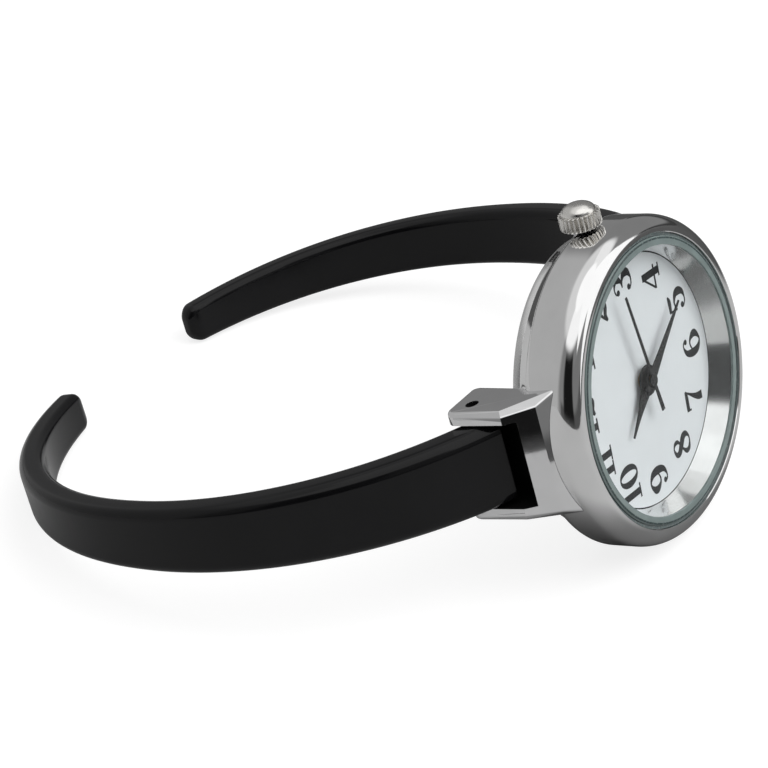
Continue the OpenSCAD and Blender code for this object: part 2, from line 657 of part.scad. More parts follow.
// Tapering blade: widest at a third of its length and narrow at the hub
blade_widest = 0.34;
blade_tip = 0.05;
module blade(length, w) {
    polygon([[0, -w * 0.3], [-length * blade_widest, -w / 2], [-length, -blade_tip],
        [-length, blade_tip], [-length * blade_widest, w / 2], [0, w * 0.3]]);
}
module hour_hand() { hand(hour_angle, hour_z, 1.35, hour_r[1]) blade(hour_len, hour_w); }
module minute_hand() { hand(minute_angle, minute_z, 0.85, cannon_r[1]) blade(minute_len, minute_w); }
module second_hand() {
    hand(second_angle, second_z, 0.55, arbor_r) polygon([
        [second_tail, -second_w], [second_tail, second_w], [0, second_w * 0.6],
        [-second_len, second_w / 4], [-second_len, -second_w / 4], [0, -second_w * 0.6]]);
}

// Movement parts that stand still
battery_dir = 215;
battery_at = (movement_r - battery_r - 0.35) * unit2(battery_dir);
battery_z = -3.95;
screw_in = 1.2;              // how far the screws sit in from the movement's edge
screw_at = [for (a = [48, -60, -98]) (movement_r - screw_in) * unit2(a)];
ring_bottom = -3.4;          // lower face of the movement ring
board_y = 3.4;               // straight edge of the circuit board
board_t = 0.25;
bridge_y = 6.8;              // edge of the train bridge on the crown's side
module movement_ring() {
    lay_down() color("white") difference() {
        ring(movement_r + seat, plug_r - seat, ring_bottom, plate_top);
        on_stem(0) cylinder(r = tube_r + 0.15, h = case_r, $fn = medium);
    }
}
module main_plate() {
    lay_down() color("tan") difference() {
        union() {
            difference() {
                rod_fine(movement_r, plate_z, plate_top);
                rod(m_hour * hour_teeth / 2 + 0.35, pocket_z, 0);
                translate(motion_at) rod(m_cannon * minute_teeth[0] / 2 + 0.35, pocket_z, 0);
            }
            translate(motion_at) rod(0.2, pocket_z - 0.1, -0.55);
            for (p = screw_at) translate(p) rod(0.75, bridge_z[1], plate_z);
        }
        rod(cannon_r[1] + 0.04, plate_z - cut, pocket_z + cut);
        translate(battery_at) rod_fine(battery_r + 0.1, -4, battery_z + battery_h + 0.05);
        for (p = screw_at) translate(p) rod(screw_d / 2 - 0.05, -5, plate_z + 0.9);
        for (p = [third_at, inter_at, rotor_at]) translate(p) rod(arbor_r + 0.03, -4, plate_z + 0.35);
        on_stem(stem_in - 0.2) cylinder(r = stem_r + 0.1, h = case_r, $fn = medium);
        translate([-1, groove_y - 0.2, -4]) cube([3, crown_travel + lever_t + 0.7, 4 - stem_depth + 0.75]);
        at_feet() rod(foot_r + 0.02, -2, 0);
    }
}
module rod_fine(r, z0, z1) { translate([0, 0, z0]) cylinder(r = r, h = z1 - z0, $fn = fine); }
module train_bridge() {
    lay_down() color("silver") difference() {
        intersection() {
            rod_fine(movement_r - 0.2, bridge_z[0], bridge_z[1]);
            translate([third_at[0] - 1.1, -movement_r, -5]) cube([3 * movement_r, movement_r + bridge_y, 5]);
        }
        translate(battery_at) rod_fine(battery_r + 0.4, -5, 0);
        translate([coil_at[0] - coil_r2 - 0.15, coil_at[1] - coil_len / 2 - 0.3, -5])
            cube([movement_r, coil_len + 0.6, 5]);
        for (p = [[0, 0], third_at, inter_at, rotor_at]) translate(p) rod(arbor_r + 0.03, -5, 0);
        for (p = screw_at) translate(p) rod(screw_d / 2 + 0.05, -5, 0);
    }
}
module bridge_screws() {
    lay_down() color("steelblue") for (p = screw_at) translate([p[0], p[1], bridge_z[0]]) difference() {
        union() {
            translate([0, 0, -0.28]) cylinder(d = screw_d * 1.8, h = 0.27, $fn = medium);
            translate([0, 0, -0.02]) cylinder(d = screw_d - 0.12, h = 1.6, $fn = medium);
        }
        translate([0, 0, -0.28]) cube([screw_d * 3, 0.14, 0.2], center = true);
    }
}
module battery() {
    lay_down() color("lightgray") translate(battery_at) {
        rod_fine(battery_r, battery_z, battery_z + battery_h - 0.25);
        rod_fine(battery_r - 0.5, battery_z, battery_z + battery_h);
    }
}
module battery_strap() {
    lay_down() color("gold") translate([battery_at[0], battery_at[1], battery_z]) {
        translate([-battery_r + 0.3, -0.6, -0.13]) cube([2 * battery_r - 0.6, 1.2, 0.1]);
    }
}
module circuit_board() {
    lay_down() color("darkgreen") difference() {
        intersection() {
            rod_fine(movement_r - 0.1, plate_z - board_t - 0.05, plate_z - 0.05);
            translate([-movement_r, board_y, -5]) cube([2 * movement_r, movement_r, 5]);
        }
        for (p = screw_at) translate(p) rod(0.85, -5, 0);
        on_stem(stem_in - 0.4) cylinder(r = stem_r + 0.2, h = case_r, $fn = medium);
        translate([-1.1, groove_y - 0.3, -4]) cube([3.2, crown_travel + lever_t + 0.9, 4]);
    }
}
crystal_r = 0.5;
crystal_l = 3.2;
crystal_dir = 135;
module quartz_crystal() {
    lay_down() color("silver") rotate(crystal_dir)
        translate([movement_r - 1.9, 0, plate_z - board_t - 0.1 - crystal_r]) rotate([90, 0, 0])
            cylinder(r = crystal_r, h = crystal_l, center = true, $fn = medium);
}
coil_at = [movement_r - 2.3, -1.6, plate_z - 0.85];
coil_len = 5;
coil_r2 = 0.7;              // radius of the coil's end flanges
core = [0.5, 0.26];         // width and thickness of the stator
yoke_w = 1;                 // width of the stator's legs
module coil() {
    lay_down() color("chocolate") translate(coil_at) rotate([90, 0, 0]) difference() {
        union() {
            cylinder(r = coil_r2 - 0.08, h = coil_len, center = true, $fn = medium);
            for (side = [-1, 1]) translate([0, 0, side * (coil_len / 2 - 0.1)])
                cylinder(r = coil_r2, h = 0.2, center = true, $fn = medium);
        }
        cube([core[0] + 0.06, core[1] + 0.06, 2 * coil_len], center = true);
    }
}
module stator() {
    leg_y = coil_len / 2 + 0.2 + yoke_w / 2;             // of a leg's middle, from the coil's
    bar_x = rotor_at[0] - yoke_w / 2;
    lay_down() color("darkgray") difference() {
        translate([0, 0, coil_at[2] - core[1] / 2]) union() {
            translate([coil_at[0] - core[0] / 2, coil_at[1] - leg_y, 0])
                cube([core[0], 2 * leg_y, core[1]]);
            for (side = [-1, 1]) translate([bar_x, coil_at[1] + side * leg_y - yoke_w / 2, 0])
                cube([coil_at[0] + core[0] / 2 - bar_x, yoke_w, core[1]]);
            translate([bar_x, coil_at[1] - leg_y, 0]) cube([yoke_w, 2 * leg_y, core[1]]);
            translate(rotor_at) cylinder(r = magnet_r + 0.5, h = core[1], $fn = medium);
        }
        translate(rotor_at) rod(magnet_r + 0.12, -5, 0);
    }
}

// The watch leans back on the table until case and arm tips touch it.
function lowest(points, lean) = min([for (p = points) p[1] * cos(lean) + p[0] * sin(lean)]);
case_low = [for (p = case_outline()) [p[1], -p[0]]];     // [z, y] of the case's 9 o'clock side
tip_low = [for (r = arm_rings) for (p = r) [p[2], p[1]]];
function lean_fit(lo, hi, n) = let (mid = (lo + hi) / 2) n == 0 ? mid
    : lowest(case_low, mid) < lowest(tip_low, mid) ? lean_fit(mid, hi, n - 1) : lean_fit(lo, mid, n - 1);
lean = lean_fit(0, 30, 24);
rest_z = -lowest(case_low, lean);
function along(p, lean) = -p[0] * cos(lean) + p[1] * sin(lean);
rest_y = -(min([for (p = concat(case_low, [for (q = case_low) [q[0], -q[1]]])) along(p, lean)])
    + max([for (p = tip_low) along(p, lean)])) / 2;
module lay_down() {
    translate([0, rest_y, rest_z]) rotate([90 - lean, 0, 0]) children();
}
echo(lean = lean, rest_y = rest_y, rest_z = rest_z, pin_at = pin_at, root_heading = root_heading,
    arm_len = arm_len, cuff_mid = cuff_mid);

case_middle();
stem_tube();
glass();
glass_gasket();
reflector_ring();
dial();
case_back();
case_back_gasket();
end_piece_12();
end_piece_6();
hinge_pin_12();
hinge_pin_6();
hinge_spring_12();
hinge_spring_6();
arm_12();
arm_6();
knuckle_12();
knuckle_6();
crown();
winding_stem();
crown_gasket();
setting_lever();
movement_ring();
main_plate();
train_bridge();
bridge_screws();
battery();
battery_strap();
circuit_board();
quartz_crystal();
coil();
stator();
rotor();
intermediate_wheel();
second_wheel();
third_wheel();
centre_wheel();
cannon_pinion();
minute_wheel();
hour_wheel();
hour_hand();
minute_hand();
second_hand();
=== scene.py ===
import json
import math

import bmesh
import bpy
from mathutils import Matrix, Vector


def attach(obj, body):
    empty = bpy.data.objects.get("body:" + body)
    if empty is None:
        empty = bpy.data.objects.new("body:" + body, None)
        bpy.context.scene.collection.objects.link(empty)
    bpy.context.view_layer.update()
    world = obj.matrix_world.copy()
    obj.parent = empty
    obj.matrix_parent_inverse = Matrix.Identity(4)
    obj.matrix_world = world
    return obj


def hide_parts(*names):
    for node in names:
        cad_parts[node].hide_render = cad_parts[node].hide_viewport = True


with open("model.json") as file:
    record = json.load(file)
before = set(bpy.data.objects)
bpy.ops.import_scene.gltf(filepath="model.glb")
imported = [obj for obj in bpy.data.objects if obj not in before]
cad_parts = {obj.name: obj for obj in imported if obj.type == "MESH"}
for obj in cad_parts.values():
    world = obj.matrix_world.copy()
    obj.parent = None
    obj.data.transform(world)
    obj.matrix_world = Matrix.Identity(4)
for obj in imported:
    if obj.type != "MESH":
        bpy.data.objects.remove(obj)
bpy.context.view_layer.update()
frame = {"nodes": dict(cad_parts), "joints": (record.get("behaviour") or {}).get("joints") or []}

# Sizes in mm in the watch's own frame: x towards 6 o'clock, y towards the crown, z out through
# the dial, and z = 0 on the dial's face
CASE_R = 14.05
BAND_FRONT, BAND_REAR = 0.35, 1.9
BEZEL_TOP, BEZEL_W = 2.15, 1.3
SHOULDER_DEPTH, SHOULDER_IN, NECK_IN = 2.85, 0.6, 0.15
CASE_DEPTH, REAR_R = 4.1, 12.5
BORE_R, LEDGE_R, LEDGE_Z = 11.95, 11.45, 0.9
STEM_DEPTH, TUBE_R = 2.36, 0.85
BACK_FACE, BACK_BOTTOM, BACK_R = 4.15, 4.9, 12.6
PLUG_R, PLUG_H = (11.22, 11.92), 0.6
NOTCH_TURN, NOTCH_HALF, NOTCH_DEEP = 99, 0.8, 0.4

GLASS_BOTTOM, GLASS_R, GLASS_BORE_R = 1.2, 12.2, 12.5
CLEAR_R, RIM_FOOT = 11.45, 1.93                         # inner and lower edge of the slate rim
DIAL_OPEN_R = 10.9

NUMERAL_R, NUMERAL_H, NUMERAL_WIDE = 8.84, 2.85, 1.11
NUMERAL_TURN, NUMERAL_SHIFT = 4.9, (-0.45, 0.05)        # how the print sits off the hands' axis
THICK, THIN, BOLD = 0.17, 0.052, 1.3                    # pen widths, as shares of the height

HANDS = {"hour": 319, "minute": 148, "second": 82}      # degrees past 12 o'clock
HAND_Z = {"hour": 0.4, "minute": 0.72, "second": 0.98}
HAND_T = 0.14

CROWN_R, CROWN_H, CROWN_DOME, CROWN_SEAT = 1.8, 1.3, 0.85, 14.25
FLUTES, FLUTE = 26, 0.34

ARM_W, ARM_T, ARM_EDGE = (7.4, 3.8), (3.3, 2.2), (1.15, 0.7)    # at the root and at the tip
CUFF_HALF_W, CUFF_RISE, CUFF_DROP, FULLNESS = 30.5, 29.0, 26.8, 2.2
TIP_REACH, TIP_ROUND = 10.0, 1.35
ROOT = (14.45, -5.75)
PIN_SETBACK, PIN_INSET, PIN_R = 0.8, 0.95, 0.55

EAR_HALF, FLARE_HALF, EAR_ROUND = 5.0, 5.6, 0.45        # end pieces
HEAD_GAP, WEB_T, ROLLED_EDGE = 0.03, 0.6, 0.12

# Edges sharper than these, in degrees, stay crisp
CASE_CRISP, CAP_CRISP, ARM_CRISP = 28, 30, 40

# The photograph's camera in the watch's own frame
CAMERA_PLACE, CAMERA_LENS = (-185.88, 96.8, 128.47), 136.02
CAMERA_RIGHT = (0.5415, -0.2511, 0.8023)
CAMERA_UP = (0.4499, 0.8927, -0.0243)
CAMERA_BACK = (-0.7101, 0.3741, 0.5964)

# In metres: where the sheet under the watch ends, and the painted shade round the head's foot
SHEET_END = (0.062, 0.08)
HEAD_FOOT, FOOT_SHADE = (0, -0.0275, 0), (0.01, 0.023)
FLOOR_HALF = 3.0

# Brightness of the floor: in reflections beyond the sheet, at the head's foot (painted shade) and
# round it, and to the camera its white, its glow and the glow's share
BEYOND_SHEET, FOOT_GREY, SHEET_GREY = 0.14, 0.17, 0.5
FLOOR_WHITE, FLOOR_GLOW, GLOW_SHARE = 0.95, 1.15, 0.7

# The studio round the watch, each patch as azimuth and elevation ranges in degrees, softness and
# brightness. Azimuth 0 is where the photographer stands, and it grows to their right.
STUDIO_TURN, BACK_WALL, MIRRORED_MOST = 210.4, 0.23, 1.18
STUDIO = [("left_wall", -155, -55, -8, 66, 14, 0.46),
          ("upper_walls", -181, 181, 49, 91, 10, 0.76),
          ("front_ceiling", -48, 45, 47, 91, 8, 1.1),
          ("rear_ceiling", 96, 179, 50, 91, 9, 0.95),
          ("right_ceiling", 38, 112, 36, 91, 9, 3.1),
          ("right_softbox", 74, 111, -3, 91, 6, 3.6),
          ("top_softbox", -181, 181, 74, 91, 8, 1.6),
          ("front_wall", 14, 62, 8, 34, 8, 0.2),
          ("table_edge", -46, 76, -5, 9, 6, 0.09),
          ("dark_corner", 112, 181, -12, 5, 5, 0.05),
          ("photographer", -34, 13, 3, 43, 9, 0.01)]


# Frame and camera
def joint(name):
    return next(j for j in frame["joints"] if j["name"] == name)


def watch_matrix():
    """From the watch's own frame in mm to the row frame in metres."""
    z = -Vector(joint("seconds_turn")["axis"]).normalized()
    y = Vector(joint("crown_pull")["axis"]).normalized()
    x = y.cross(z)
    at = Vector(joint("seconds_turn")["pos_m"])
    m = Matrix((x, y, z)).transposed().to_4x4()
    return Matrix.Translation(at) @ m @ Matrix.Scale(0.001, 4)


WATCH = watch_matrix()


def add_camera():
    """The photograph's camera, placed and turned with the watch."""
    cam = bpy.data.objects.new("camera", bpy.data.cameras.new("camera"))
    bpy.context.scene.collection.objects.link(cam)
    axes = Matrix((CAMERA_RIGHT, CAMERA_UP, CAMERA_BACK)).transposed()
    turn = WATCH.to_3x3().normalized() @ axes
    cam.matrix_world = Matrix.Translation(WATCH @ Vector(CAMERA_PLACE)) @ turn.to_4x4()
    cam.data.sensor_width = 36
    cam.data.lens = CAMERA_LENS
    cam.data.clip_start = 0.01
    bpy.context.scene.camera = cam


# Materials
NOISE_SPAN, TINT_SPAN = (0.3, 0.7), (0.35, 0.65)        # where noise has most of its values
GLASS_MIRROR = (0.01, 0.12)                             # share mirrored straight on and at a slant
CAP_MIDDLE, CAP_SWELL = -3.5, 0.44                      # polished rounding of the end pieces


def shader(name):
    mat = bpy.data.materials.new(name)
    mat.use_nodes = True
    nodes = mat.node_tree.nodes
    return mat, nodes, mat.node_tree.links, nodes["Principled BSDF"]


def noise(nodes, links, scale, detail=4.0, stretch=(1, 1, 1)):
    """Noise in the object's own metres, scale in features per metre."""
    coords = nodes.new("ShaderNodeTexCoord")
    mapping = nodes.new("ShaderNodeMapping")
    mapping.inputs["Scale"].default_value = stretch
    links.new(coords.outputs["Object"], mapping.inputs["Vector"])
    tex = nodes.new("ShaderNodeTexNoise")
    tex.inputs["Scale"].default_value = scale
    tex.inputs["Detail"].default_value = detail
    links.new(mapping.outputs["Vector"], tex.inputs["Vector"])
    return tex.outputs["Fac"]


def feed(links, socket, value):
    """Sets a socket to a number, or links it to an output."""
    if isinstance(value, (int, float)):
        socket.default_value = value
    elif value is not None:
        links.new(value, socket)


def math_node(nodes, links, operation, a, b=None):
    node = nodes.new("ShaderNodeMath")
    node.operation = operation
    feed(links, node.inputs[0], a)
    feed(links, node.inputs[1], b)
    return node.outputs["Value"]


def vector_node(nodes, links, operation, vector, other):
    node = nodes.new("ShaderNodeVectorMath")
    node.operation = operation
    links.new(vector, node.inputs[0])
    node.inputs[1].default_value = other
    return node.outputs


def map_range(nodes, links, value, span, low, high):
    """A node that takes value from the span to low..high."""
    node = nodes.new("ShaderNodeMapRange")
    sockets = ("From Min", "From Max", "To Min", "To Max")
    for name, number in zip(sockets, (*span, low, high)):
        node.inputs[name].default_value = number
    feed(links, node.inputs["Value"], value)
    return node


def vary(nodes, links, fac, low, high, target):
    """Sends fac to a number socket, mapped to low..high."""
    links.new(map_range(nodes, links, fac, NOISE_SPAN, low, high).outputs["Result"], target)


def tint(nodes, links, fac, dark, light, target):
    """Sends fac to a colour socket, mixed from dark to light."""
    ramp = nodes.new("ShaderNodeValToRGB")
    for stop, position, colour in zip(ramp.color_ramp.elements, TINT_SPAN, (dark, light)):
        stop.position = position
        stop.color = (*colour, 1)
    links.new(fac, ramp.inputs["Fac"])
    links.new(ramp.outputs["Color"], target)


def bump(nodes, links, fac, strength, distance, bsdf):
    node = nodes.new("ShaderNodeBump")
    node.inputs["Strength"].default_value = strength
    node.inputs["Distance"].default_value = distance
    links.new(fac, node.inputs["Height"])
    links.new(node.outputs["Normal"], bsdf.inputs["Normal"])


def finish(name, colour, spread, metal, rough, scale, grain, bump_by, depth, stretch=(1, 1, 1),
           specular=0.5):
    """A procedural finish: colour and roughness that vary a little, and a fine grain."""
    mat, nodes, links, bsdf = shader(name)
    broad = noise(nodes, links, scale, 3, stretch)
    fine = noise(nodes, links, grain, 2, stretch)
    dark = [c * (1 - spread) for c in colour]
    light = [min(1, c * (1 + spread)) for c in colour]
    tint(nodes, links, broad, dark, light, bsdf.inputs["Base Color"])
    vary(nodes, links, fine, *rough, bsdf.inputs["Roughness"])
    bump(nodes, links, fine, bump_by, depth, bsdf)
    bsdf.inputs["Metallic"].default_value = metal
    bsdf.inputs["Specular IOR Level"].default_value = specular
    return mat


def pillow(mat, middle_y, half, depth):
    """Rounds a polished plate across its width: depth mm lower at half mm from middle_y."""
    nodes, links = mat.node_tree.nodes, mat.node_tree.links
    across = (WATCH.to_3x3() @ Vector((0, 1, 0))).normalized()
    place = nodes.new("ShaderNodeTexCoord").outputs["Object"]
    middle = WATCH @ Vector((0, middle_y, 0))
    offset = vector_node(nodes, links, "SUBTRACT", place, middle)["Vector"]
    along = vector_node(nodes, links, "DOT_PRODUCT", offset, across)["Value"]
    share = math_node(nodes, links, "MULTIPLY", along, 1000 / half)
    height = math_node(nodes, links, "MULTIPLY", share, share)
    height = math_node(nodes, links, "MULTIPLY", height, -1.0)
    swell = nodes.new("ShaderNodeBump")
    swell.inputs["Strength"].default_value = 1.0
    swell.inputs["Distance"].default_value = depth / 1000
    links.new(height, swell.inputs["Height"])
    grain = nodes["Bump"]
    links.new(swell.outputs["Normal"], grain.inputs["Normal"])


def clear_glass():
    """Thin mineral glass: looks pass through, and it mirrors a little more at a slant."""
    mat, nodes, links, bsdf = shader("mineral_glass")
    nodes.remove(bsdf)
    clear = nodes.new("ShaderNodeBsdfTransparent")
    clear.inputs["Color"].default_value = (0.985, 0.992, 0.99, 1)
    gloss = nodes.new("ShaderNodeBsdfGlossy")
    vary(nodes, links, noise(nodes, links, 300, 2), 0.0, 0.02, gloss.inputs["Roughness"])
    slant = nodes.new("ShaderNodeLayerWeight")
    slant.inputs["Blend"].default_value = 0.2
    share = map_range(nodes, links, slant.outputs["Facing"], (0, 1), *GLASS_MIRROR)
    mix = nodes.new("ShaderNodeMixShader")
    links.new(share.outputs["Result"], mix.inputs["Fac"])
    links.new(clear.outputs["BSDF"], mix.inputs[1])
    links.new(gloss.outputs["BSDF"], mix.inputs[2])
    links.new(mix.outputs["Shader"], nodes["Material Output"].inputs["Surface"])
    return mat


def make_materials():
    """Each finish with its colour, spread, metal, roughness, two noise scales, bump and its depth."""
    m = {}

    def add(name, *values, **more):
        m[name] = finish(name, *values, **more)

    add("polished_steel", (0.80, 0.80, 0.80), 0.03, 1.0, (0.035, 0.075), 260, 2600, 0.05, 4e-6)
    add("plated_cap", (0.78, 0.78, 0.785), 0.03, 1.0, (0.05, 0.09), 300, 2200, 0.06, 5e-6)
    pillow(m["plated_cap"], CAP_MIDDLE, EAR_HALF, CAP_SWELL)
    add("back_steel", (0.66, 0.66, 0.66), 0.05, 1.0, (0.2, 0.3), 500, 9000, 0.1, 5e-6)
    add("crown_nickel", (0.78, 0.765, 0.735), 0.05, 1.0, (0.2, 0.28), 900, 8000, 0.1, 5e-6)
    add("pin_steel", (0.50, 0.50, 0.51), 0.08, 1.0, (0.25, 0.4), 1500, 9000, 0.1, 5e-6)
    add("spring_steel", (0.42, 0.43, 0.45), 0.1, 1.0, (0.25, 0.4), 2500, 9000, 0.1, 5e-6)
    add("reflector", (0.86, 0.86, 0.86), 0.03, 1.0, (0.07, 0.13), 500, 4000, 0.06, 5e-6)
    add("slate_rim", (0.18, 0.225, 0.22), 0.08, 0.0, (0.14, 0.2), 700, 5000, 0.03, 3e-6)
    add("rim_line", (0.05, 0.07, 0.07), 0.1, 0.0, (0.2, 0.3), 900, 5000, 0.03, 3e-6)
    add("clear_nylon", (0.13, 0.16, 0.16), 0.08, 0.0, (0.2, 0.3), 900, 5000, 0.05, 3e-6)
    add("dial_white", (0.765, 0.79, 0.815), 0.012, 0.0, (0.42, 0.5), 400, 7000, 0.12, 6e-6)
    add("numeral_ink", (0.012, 0.013, 0.015), 0.2, 0.0, (0.45, 0.6), 2500, 9000, 0.1, 4e-6,
        specular=0.25)
    add("black_gloss", (0.0045, 0.0045, 0.005), 0.15, 0.0, (0.1, 0.16), 220, 2200, 0.03, 4e-6,
        specular=0.24)
    # Painted shade: near-black for the hollows of the end pieces and a ring at the reflector's foot
    add("channel_black", (0.004, 0.004, 0.004), 0.2, 0.0, (0.6, 0.8), 900, 6000, 0.2, 6e-6,
        specular=0.1)
    add("painted_shade_steel", (0.05, 0.05, 0.05), 0.1, 1.0, (0.35, 0.5), 900, 6000, 0.1, 5e-6)
    add("hand_black", (0.012, 0.012, 0.013), 0.15, 0.0, (0.22, 0.34), 1500, 9000, 0.1, 4e-6,
        specular=0.25)
    add("seal_rubber", (0.02, 0.02, 0.02), 0.2, 0.0, (0.55, 0.7), 1500, 9000, 0.3, 8e-6)
    add("white_plastic", (0.72, 0.72, 0.70), 0.03, 0.0, (0.35, 0.5), 900, 6000, 0.1, 6e-6)
    add("plate_plastic", (0.36, 0.30, 0.22), 0.06, 0.0, (0.4, 0.55), 900, 6000, 0.2, 8e-6)
    add("train_brass", (0.72, 0.52, 0.24), 0.06, 1.0, (0.22, 0.34), 1500, 9000, 0.1, 5e-6)
    add("bridge_steel", (0.60, 0.60, 0.60), 0.05, 1.0, (0.25, 0.36), 700, 9000, 0.15, 6e-6,
        (1, 0.08, 1))
    add("battery_steel", (0.68, 0.68, 0.69), 0.04, 1.0, (0.2, 0.3), 700, 7000, 0.1, 5e-6)
    add("board_green", (0.02, 0.12, 0.05), 0.15, 0.0, (0.35, 0.5), 1800, 8000, 0.1, 5e-6)
    add("coil_copper", (0.62, 0.26, 0.10), 0.1, 1.0, (0.25, 0.4), 1500, 12000, 0.4, 1e-5,
        (1, 1, 0.1))
    add("soft_iron", (0.38, 0.38, 0.39), 0.08, 1.0, (0.35, 0.5), 1200, 8000, 0.15, 6e-6)
    m["mineral_glass"] = clear_glass()
    return m


MATERIALS = make_materials()


def dress_cad():
    """Every CAD node that stays visible takes the procedural finish of its material slot."""
    for obj in frame["nodes"].values():
        for slot in obj.material_slots:
            name = slot.material.name.split(".")[0] if slot.material else ""
            slot.material = MATERIALS.get(name, MATERIALS["pin_steel"])
    # Painted shade: the knuckles take near-black steel so the end pieces' openings look dark
    for name in ("knuckle_6", "knuckle_12"):
        for slot in frame["nodes"][name].material_slots:
            slot.material = MATERIALS["painted_shade_steel"]


# Meshes
def add_piece(name, verts, faces, material, body="head", slot=None, stands_for=(), angle=35):
    """A mesh piece in the watch's own frame, smooth but for edges sharper than angle."""
    mesh = bpy.data.meshes.new(name)
    mesh.from_pydata([WATCH @ Vector(v) for v in verts], [], faces)
    mesh.update()
    bm = bmesh.new()
    bm.from_mesh(mesh)
    bmesh.ops.remove_doubles(bm, verts=bm.verts, dist=1e-9)
    bmesh.ops.recalc_face_normals(bm, faces=bm.faces)
    bm.to_mesh(mesh)
    bm.free()
    mesh.shade_smooth()
    mesh.set_sharp_from_angle(angle=math.radians(angle))
    obj = bpy.data.objects.new(name, mesh)
    bpy.context.scene.collection.objects.link(obj)
    mesh.materials.append(MATERIALS[material])
    if body:
        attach(obj, body)
    if stands_for:
        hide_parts(*stands_for)
    return obj


def cut_away(obj, cutter, angle=35):
    """Takes cutter's solid out of obj and throws the cutter away."""
    mod = obj.modifiers.new("cut", "BOOLEAN")
    mod.operation = "DIFFERENCE"
    mod.solver = "EXACT"
    mod.material_mode = "TRANSFER"
    mod.object = cutter
    view = bpy.context.evaluated_depsgraph_get()
    mesh = bpy.data.meshes.new_from_object(obj.evaluated_get(view))
    obj.modifiers.remove(mod)
    old = obj.data
    obj.data = mesh
    bpy.data.meshes.remove(old)
    bpy.data.objects.remove(cutter)
    obj.data.shade_smooth()
    obj.data.set_sharp_from_angle(angle=math.radians(angle))


def even_shade(obj):
    obj.modifiers.new("even_normals", "WEIGHTED_NORMAL").keep_sharp = True


def cutter_from(verts, faces, material="polished_steel"):
    """A solid to cut with; the faces it leaves behind take its material."""
    return add_piece("cutter", verts, faces, material, body=None)


def joined(parts):
    """One mesh's vertices and faces from those of several."""
    verts, faces = [], []
    for part_verts, part_faces in parts:
        start = len(verts)
        verts += part_verts
        faces += [[start + i for i in face] for face in part_faces]
    return verts, faces


def lathe(profile, steps=256):
    """Turns a closed profile of (radius, z) about the z axis."""
    verts, faces = [], []
    n = len(profile)
    for i in range(steps):
        a = 2 * math.pi * i / steps
        verts += [(r * math.cos(a), r * math.sin(a), z) for r, z in profile]
    for i in range(steps):
        j = (i + 1) % steps
        for k in range(n):
            q = (k + 1) % n
            ring = [i * n + k, j * n + k, j * n + q, i * n + q]
            if profile[k][0] < 1e-6:
                ring.remove(j * n + k)
            if profile[q][0] < 1e-6:
                ring.remove(j * n + q)
            if len(ring) > 2:
                faces.append(ring)
    return verts, faces


def circle(radius, steps=48, x=0.0, y=0.0):
    turn = 2 * math.pi / steps
    return [(x + radius * math.cos(turn * i), y + radius * math.sin(turn * i)) for i in range(steps)]


def arc(cx, cz, rx, rz, a0, a1, n):
    """Points on an elliptic arc, angles in degrees."""
    return [(cx + rx * math.cos(math.radians(a0 + (a1 - a0) * i / n)),
             cz + rz * math.sin(math.radians(a0 + (a1 - a0) * i / n))) for i in range(n + 1)]


def rounded(points, radii, steps=4):
    """A closed outline with its corners rounded; radii has one value for each corner."""
    out, n = [], len(points)
    for i, radius in enumerate(radii):
        p = Vector(points[i])
        if not radius:
            out.append(tuple(p))
            continue
        a, b = (Vector(points[i - 1]) - p), (Vector(points[(i + 1) % n]) - p)
        reach = min(radius / math.tan(a.angle(b) / 2), 0.45 * a.length, 0.45 * b.length)
        start, end = p + a.normalized() * reach, p + b.normalized() * reach
        for k in range(steps + 1):
            t = k / steps
            out.append(tuple(start.lerp(p, t).lerp(p.lerp(end, t), t)))
    return out


def tube(radius, y0, y1, steps=48):
    """A solid cylinder along the stem's axis, from y0 to y1."""
    verts = [(x, y, z) for y in (y0, y1) for x, z in circle(radius, steps, 0.0, -STEM_DEPTH)]
    faces = [[i, (i + 1) % steps, steps + (i + 1) % steps, steps + i] for i in range(steps)]
    return verts, faces + [list(range(steps)), list(range(2 * steps - 1, steps - 1, -1))]


def prism(outline, half):
    """An outline in x and z, extruded to half on both sides of y = 0."""
    n = len(outline)
    verts = [(x, -half, z) for x, z in outline] + [(x, half, z) for x, z in outline]
    faces = [[i, (i + 1) % n, n + (i + 1) % n, n + i] for i in range(n)]
    return verts, faces + [list(range(n)), list(range(2 * n - 1, n - 1, -1))]


# Case
def case_profile():
    """Cut through the case middle: outside from the back to the bezel, then inside."""
    band_in = CASE_R - SHOULDER_IN
    neck = band_in - NECK_IN
    outer = [(REAR_R, -CASE_DEPTH), (REAR_R + 0.12, -CASE_DEPTH + 0.02),
             (neck - 0.02, -SHOULDER_DEPTH - 0.14), (neck, -SHOULDER_DEPTH - 0.1),
             (neck, -SHOULDER_DEPTH)]
    outer += arc(band_in, -BAND_REAR, SHOULDER_IN, SHOULDER_DEPTH - BAND_REAR, -90, 0, 16)
    outer += [(CASE_R, -BAND_REAR + (BAND_REAR + BAND_FRONT) * k / 8) for k in range(1, 8)]
    outer += arc(CASE_R - BEZEL_W, BAND_FRONT, BEZEL_W, BEZEL_TOP - BAND_FRONT, 0, 90, 28)
    seat = GLASS_BOTTOM - 0.03
    return outer + [(GLASS_BORE_R + 0.06, BEZEL_TOP), (GLASS_BORE_R, BEZEL_TOP - 0.06),
                    (GLASS_BORE_R, seat), (LEDGE_R, seat), (LEDGE_R, LEDGE_Z),
                    (BORE_R, LEDGE_Z), (BORE_R, -CASE_DEPTH)]


def build_case():
    case = add_piece("case_shell", *lathe(case_profile(), 288), "polished_steel",
                     stands_for=["case_middle"], angle=CASE_CRISP)
    stem_hole = tube(TUBE_R + 0.015, BORE_R - 1, CASE_R + 1)
    cut_away(case, cutter_from(*stem_hole), CASE_CRISP)


